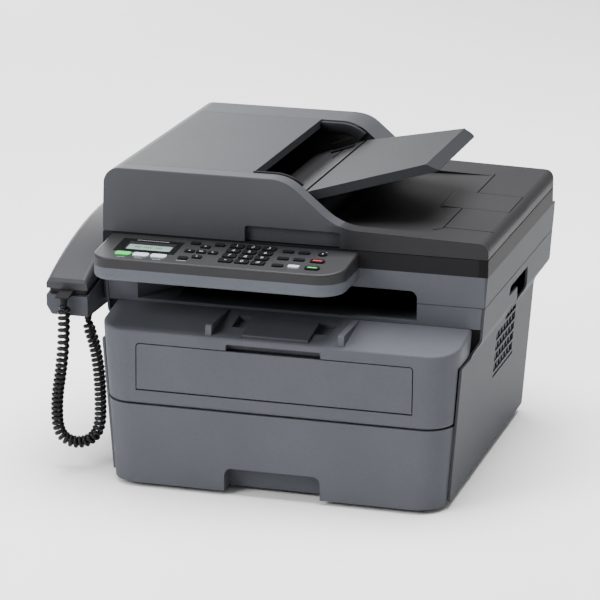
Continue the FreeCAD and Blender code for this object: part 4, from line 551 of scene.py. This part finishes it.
class FAX_OT_lid(bpy.types.Operator):
    """Finish the scanner, document lid, feeder and document tray, and add the feeder's lips"""
    bl_idname = "fax.lid"
    bl_label = "Lid and Scanner"

    def execute(self, context):
        f = finishes()
        paint(["document_lid"], moulded("lid_grey", f.lid, specular=0.2, layers=self.lid_layers(f)))
        paint(["feeder_cover"], moulded("feeder_grey", toned(f.lid, 0.8), specular=0.2))
        paint(["document_tray"], moulded("tray_grey", toned(f.lid, 0.5), specular=0.1))
        paint(["document_stop"], moulded("rest_grey", f.dark, specular=0.2))
        paint(["document_guide_front", "document_guide_rear"], moulded("guide_black", toned(f.dark, 0.4)))
        corner = where_all(between(0, MIDDLE + 0.1955, None), between(1, None, -0.1245))
        paint(["scanner_base"], moulded("scanner_dark", toned(f.dark, 0.75), layers=[(f.black, corner)]))
        paint(["platen_glass"], clear_glass("platen_clear"))
        paint(["pressure_pad"], moulded("pad_white", (0.70, 0.70, 0.68), rough=0.85, grain=500.0, depth=0.25,
                                        spread=0.03))
        self.seams(f)
        self.lips(f)
        return {"FINISHED"}

    def seams(self, f):
        """Black strips where the document rest's mouldings meet."""
        gap = moulded("seam_black", f.black, rough=0.95, depth=0.0, specular=0.0)
        for name, corners in REST_SEAMS.items():
            seam = grid_piece("rest_" + name, strip_points(corners, REST_SEAM_WIDTH), material=gap)
            on_body(seam, "lid", "black")

    def lips(self, f):
        """A lip along each side wall of the feeder's mouth; the front lip is darker than the rear one as
        painted shade.
        """
        width = sizes().lip
        plastic = moulded("lip_grey", toned(f.lid, 0.6), rough=0.4)
        # Painted shade: the front lip is given a darker colour than the rear lip, for the shade it lies in
        shade = moulded("lip_painted_shade", toned(f.dark, 0.5), rough=0.4)
        lips = (("front_lip", MOUTH_FRONT + LIP_GAP + width / 2, FRONT_LIP_DROP, shade),
                ("rear_lip", MOUTH_BACK - LIP_GAP - width / 2, REAR_LIP_DROP, plastic))
        for name, y, drop, finish in lips:
            points = lip_points(y, width, LIP_HEIGHT, drop)
            lip = grid_piece(name, points, close=True, capped=True, material=finish)
            on_body(lip, "lid", "feeder_grey")

    def lid_layers(self, f):
        """The dark document rest with painted shadow in its bowl under the document tray, the slot beside the
        stop and the feeder's dark mouth.
        """
        top = between(2, 0.2630, 0.2745)
        rest = where_all(between(0, MIDDLE + 0.0450, None, 0.012), between(2, None, 0.2745))
        # Painted shadow: the bowl under the document tray is darkened for the shadow the tray casts
        bowl_shadow = where_all(between(0, MIDDLE + 0.0300, MIDDLE + 0.1250, 0.022),
                         between(1, -0.0850, 0.1350, 0.022), top)
        slot = where_all(between(0, FLANK_X, None), between(1, 0.0060, 0.0550), between(2, 0.2590, 0.2625))
        chute = where_all(between(0, MIDDLE - 0.0700, MIDDLE + 0.0040), between(1, MOUTH_FRONT, MOUTH_BACK),
                          between(2, 0.2700, 0.3010))
        walls = where_all(between(0, MOUTH_LEFT - 0.15, MIDDLE + 0.0300), between(2, 0.2650, 0.3130),
                          between(1, MOUTH_FRONT - 0.0004, MOUTH_BACK + 0.0004, 0.0001))
        return [(f.dark, rest), (toned(f.dark, 0.45), bowl_shadow), (f.black, slot), (toned(f.dark, 0.55), walls),
                (toned(f.dark, 0.8), chute)]


class FAX_OT_panel(bpy.types.Operator):
    """Finish the control panel and its keys"""
    bl_idname = "fax.panel"
    bl_label = "Control Panel"

    def execute(self, context):
        f = finishes()
        paint(["panel_top"], moulded("panel_dark", toned(f.dark, 1.3), rough=0.5, specular=0.22))
        paint(["panel_base"], moulded("panel_base_grey", f.panel, rough=0.5))
        paint(["display_window"], moulded("display_black", (0.004, 0.004, 0.0045), rough=0.18, depth=0.0,
                                          coat=0.3))
        ebony, pale = (0.007, 0.007, 0.008), (0.42, 0.46, 0.50)
        cap = dict(rough=0.35, grain=1500.0, depth=0.02)
        keys = [n for n in NODES if n.endswith(("_keys", "_key")) or n.startswith("dial_key")]
        paint(keys, moulded("key_black", ebony, rough=0.4, grain=2200.0, depth=0.04, spread=0.15))
        paint(["scan_key", "copy_key"], moulded("key_pale", pale, spread=0.04, **cap))
        paint(["fax_key"], moulded("key_green", f.green, spread=0.06, **cap))
        white = where_all(between(0, PANEL_CORNER[0] + 0.2050, None),
                          between(1, None, PANEL_CORNER[1] - 0.0460))
        paint(["function_keys"], moulded("key_function", ebony, rough=0.4, grain=2200.0, depth=0.04,
                                         spread=0.12, layers=[(pale, white)]))
        return {"FINISHED"}


class FAX_OT_marks(bpy.types.Operator):
    """Add the display's liquid crystal, the figures and arrows of the keys, and plain label bars"""
    bl_idname = "fax.marks"
    bl_label = "Display and Marks"

    def execute(self, context):
        f = finishes()
        ink = moulded("mark_ink", f.mark, rough=0.6, grain=900.0, depth=0.0, spread=0.05)
        self.display(f)
        self.figures(ink)
        self.arrows(ink)
        red = moulded("bar_red", f.red, rough=0.5, grain=900.0, depth=0.0, spread=0.06)
        green = moulded("bar_green", f.green, rough=0.5, grain=900.0, depth=0.0, spread=0.06)
        bars = (("stop", (LAST_COLUMN, STOP_Y, 9.5, 2.6), red, "key_black"),
                ("start", (LAST_COLUMN, START_Y, 9.5, 2.6), green, "key_green"),
                ("power", (LAST_COLUMN, POWER_Y, 1.0, 3.6), ink, "key_white"),
                ("ok", (*ARROWS, 4.0, 1.4), ink, "key_white"))
        for name, place, finish, slot in bars:
            bar = panel_marks(name + "_bar", [place], KEY_TOP + MARK_LIFT, finish)
            on_body(bar, "b_" + name + "_key", slot)
        on_body(panel_marks("label_bars", self.labels(), MARK_LIFT, ink), "chassis", "key_white")
        return {"FINISHED"}

    def display(self, f):
        """A painted reflection of the lid as a grey sheet, a pale sheet in the window, with two rows of plain
        character blocks.
        """
        # Painted reflection: the grey sheet stands for the lid reflected in the display window
        shade = moulded("lcd_shade", toned(f.dark, 1.2), rough=0.3, grain=600.0, depth=0.0, spread=0.1)
        on_body(panel_marks("display_shade", [(53.0, 29.5, 50.0, 21.0)], 0.0002, shade), "chassis", "display")
        u, v = np.meshgrid(np.linspace(0.0300, 0.0765, 9), np.linspace(0.0410, 0.0275, 5), indexing="ij")
        glow = moulded("lcd_pale", f.screen, rough=0.25, grain=600.0, depth=0.0, spread=0.05)
        on_body(grid_piece("display_crystal", panel_point(u, v, 0.0003), material=glow), "chassis", "display")
        rows = [(38.0 + 2.5 * i, 33.8, 1.7, 4.2) for i in range(12) if i % 5 != 3]
        dark = moulded("lcd_blocks", toned(f.screen, 0.45), rough=0.4, grain=600.0, depth=0.0, spread=0.1)
        on_body(panel_marks("display_blocks", rows, 0.0004, dark), "chassis", "display")

    def figures(self, ink):
        """One raised-print figure on each dial key, from the text's outline."""
        height = sizes().digit
        for i, (name, text) in enumerate(DIAL):
            curve = bpy.data.curves.new("figure", "FONT")
            curve.body = text
            curve.size = height / 0.70
            curve.resolution_u = 3
            points, faces = flat_mesh(curve)
            points = points - (points.min(axis=0) + points.max(axis=0)) / 2.0
            x = DIAL_MIDDLE + (i % 3 - 1) * DIAL_PITCH[0]
            y = DIAL_TOP + (i // 3) * DIAL_PITCH[1]
            place = panel_point(x + points[:, 0], y - points[:, 1], KEY_TOP + MARK_LIFT)
            figure = piece_of("figure_" + name, place, faces, ink, smooth=False)
            on_body(figure, "b_dial_key_" + name, "key_white")

    def arrows(self, ink):
        """A triangle on each arrow key, pointing away from the key in the middle."""
        middles = np.array([(0.0, -14.6), (0.0, 14.6), (-12.4, 0.0), (12.4, 0.0)])
        away = unit(middles)
        across = np.stack([-away[:, 1], away[:, 0]], axis=1)
        corners = np.stack([middles + away * 1.1, middles - away * 0.8 + across * 1.3,
                            middles - away * 0.8 - across * 1.3], axis=1)
        x, y = np.moveaxis((corners + np.array(ARROWS)) / MM_PER_M, -1, 0)
        place = panel_point(x, y, KEY_TOP + MARK_LIFT)
        faces = np.arange(12).reshape(4, 3)[:, ::-1]
        piece = piece_of("arrow_marks", place.reshape(-1, 3), faces, ink, smooth=False)
        on_body(piece, "b_arrow_keys", "key_white")

    def labels(self):
        """Plain dashes where the machine has words: a middle x, a y and a count of dashes for each word."""
        words = [(32.3 + 19.0 * i, 63.4, 4) for i in range(3)]
        words += [(195.8 + 16.8 * i, 9.8 + 19.6 * k, 4) for i in range(2) for k in range(3)]
        words += [(232.0, 7.8, 3), (232.0, 28.2, 4), (232.0, 47.8, 4)]
        words += [(96.0, 6.8, 4), (122.0, 6.8, 4), (96.0, 61.0, 5), (51.0, 14.6, 16)]
        return [(x + 2.2 * (k - (count - 1) / 2), y, 1.5, 1.0) for x, y, count in words for k in range(count)]


class FAX_OT_handset(bpy.types.Operator):
    """Finish the handset and its cradle"""
    bl_idname = "fax.handset"
    bl_label = "Handset"

    def execute(self, context):
        f = finishes()
        paint(["handset_upper"], moulded("handset_satin", f.handset, rough=0.42, grain=2600.0, depth=0.015,
                                         spread=0.05, specular=0.14))
        paint(["handset_lower"], moulded("handset_under", toned(f.handset, 0.35), rough=0.45, depth=0.02))
        paint(["handset_cradle"], moulded("cradle_grey", toned(f.cover, 0.8), rough=0.5))
        return {"FINISHED"}


class FAX_OT_cord(bpy.types.Operator):
    """Curl the handset's cord along its route and sleeve both of its ends"""
    bl_idname = "fax.cord"
    bl_label = "Curly Cord"

    def execute(self, context):
        s = sizes()
        curl = (s.coil - s.wire) / 2.0
        helix, radial = curled_line(route_points(), CORD_STEPS, curl, s.pitch, CORD_LEAD)
        black = (0.008, 0.008, 0.009)
        vinyl = moulded("cord_vinyl", black, rough=0.28, grain=1800.0, depth=0.01, spread=0.2, coat=0.2)
        tube = tube_about(helix, radial, s.wire / 2.0, CORD_SIDES)
        cord = grid_piece("curly_cord", tube, close=True, capped=True, material=vinyl)
        length = float(np.linalg.norm(np.diff(helix, axis=0), axis=1).sum())
        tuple(CORD_ROUTE[-1])
        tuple(CORD_ROUTE[0])
        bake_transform(cord)
        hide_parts("handset_cord")
        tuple(CORD_ROUTE[0])
        rubber = moulded("boot_black", black, rough=0.5, grain=1200.0, depth=0.05, spread=0.2)
        boots = (("handset_boot", CORD_ROUTE[0], "handset"), ("cradle_boot", CORD_ROUTE[-1], "chassis"))
        for name, top, body in boots:
            points = boot_points(top, s.boot, s.wire)
            boot = grid_piece(name, points, close=True, capped=True, material=rubber)
            on_body(boot, body, "cord_black")
        return {"FINISHED"}


class FAX_OT_stage(bpy.types.Operator):
    """Set the floor, the lights and the camera"""
    bl_idname = "fax.stage"
    bl_label = "Studio"

    def execute(self, context):
        scene = context.scene
        s = scene.fax_stage
        span = np.linspace(-FLOOR_HALF, FLOOR_HALF, 9)
        x, y = np.meshgrid(span, span, indexing="ij")
        floor = grid_piece("floor", np.stack([x, y, np.zeros_like(x)], axis=-1))
        floor.data.flip_normals()
        paint(["floor"], moulded("floor_white", (0.93, 0.93, 0.93), rough=0.9, grain=200.0, depth=0.0,
                                 spread=0.01, specular=0.0))
        world = bpy.data.worlds.new("studio")
        world.use_nodes = True
        world.node_tree.nodes["Background"].inputs["Color"].default_value = (1.0, 1.0, 1.0, 1.0)
        world.node_tree.nodes["Background"].inputs["Strength"].default_value = s.sky
        scene.world = world
        self.light("key_light", (-2.0, -2.4, 1.9), (0.0, -0.1, 0.15), 1.8, s.key)
        self.light("top_light", (0.0, 0.3, 2.9), (0.0, 0.0, 0.2), 2.6, s.top)
        self.light("side_light", (2.8, 0.9, 0.9), (0.1, 0.0, 0.12), 1.2, s.side)
        self.light("back_light", (-1.9, 2.9, 1.2), (0.0, 0.0, 0.25), 1.6, s.back)
        self.camera(scene, s)
        return {"FINISHED"}

    def light(self, name, place, aim, size, power):
        lamp = bpy.data.lights.new(name, "AREA")
        lamp.shape = "DISK"
        lamp.size = size
        lamp.energy = power
        holder = bpy.data.objects.new(name, lamp)
        holder.location = place
        holder.rotation_euler = (Vector(aim) - Vector(place)).to_track_quat("-Z", "Y").to_euler()
        bpy.context.scene.collection.objects.link(holder)

    def camera(self, scene, s):
        a, e, r = math.radians(s.azimuth), math.radians(s.elevation), math.radians(s.roll)
        back = Vector((math.sin(a) * math.cos(e), -math.cos(a) * math.cos(e), math.sin(e)))
        right = Vector((math.cos(a), math.sin(a), 0.0))
        up = back.cross(right)
        right, up = right * math.cos(r) + up * math.sin(r), up * math.cos(r) - right * math.sin(r)
        lens = bpy.data.cameras.new("photo_camera")
        lens.lens = s.lens
        lens.sensor_width = 36.0
        lens.clip_end = 50.0
        eye = bpy.data.objects.new("photo_camera", lens)
        turn = Matrix((right, up, back)).transposed().to_4x4()
        eye.matrix_world = Matrix.Translation(EYE) @ turn
        scene.collection.objects.link(eye)
        scene.camera = eye


class FAX_PT_sidebar(bpy.types.Panel):
    """Pieces of the fax machine"""
    bl_idname = "FAX_PT_sidebar"
    bl_label = "Fax Machine"
    bl_space_type = "VIEW_3D"
    bl_region_type = "UI"
    bl_category = "Fax Machine"

    def draw(self, context):
        column = self.layout.column()
        for group in (context.scene.fax_finishes, context.scene.fax_sizes, context.scene.fax_stage):
            for name in group.__annotations__:
                column.prop(group, name)
        for operator in OPERATORS:
            column.operator(operator.bl_idname)


GROUPS = {"fax_finishes": FaxFinishes, "fax_sizes": FaxSizes, "fax_stage": FaxStage}
OPERATORS = [FAX_OT_stage, FAX_OT_cord, FAX_OT_covers, FAX_OT_lid, FAX_OT_panel, FAX_OT_marks, FAX_OT_handset]


def register():
    for name, group in GROUPS.items():
        bpy.utils.register_class(group)
        setattr(bpy.types.Scene, name, PointerProperty(type=group))
    for item in [*OPERATORS, FAX_PT_sidebar]:
        bpy.utils.register_class(item)


def unregister():
    for item in reversed([*OPERATORS, FAX_PT_sidebar]):
        bpy.utils.unregister_class(item)
    for name, group in GROUPS.items():
        delattr(bpy.types.Scene, name)
        bpy.utils.unregister_class(group)


def main():
    register()
    bpy.ops.fax.stage()
    bpy.ops.fax.cord()
    bpy.ops.fax.covers()
    bpy.ops.fax.lid()
    bpy.ops.fax.panel()
    bpy.ops.fax.marks()
    bpy.ops.fax.handset()


if __name__ == "__main__":
    main()
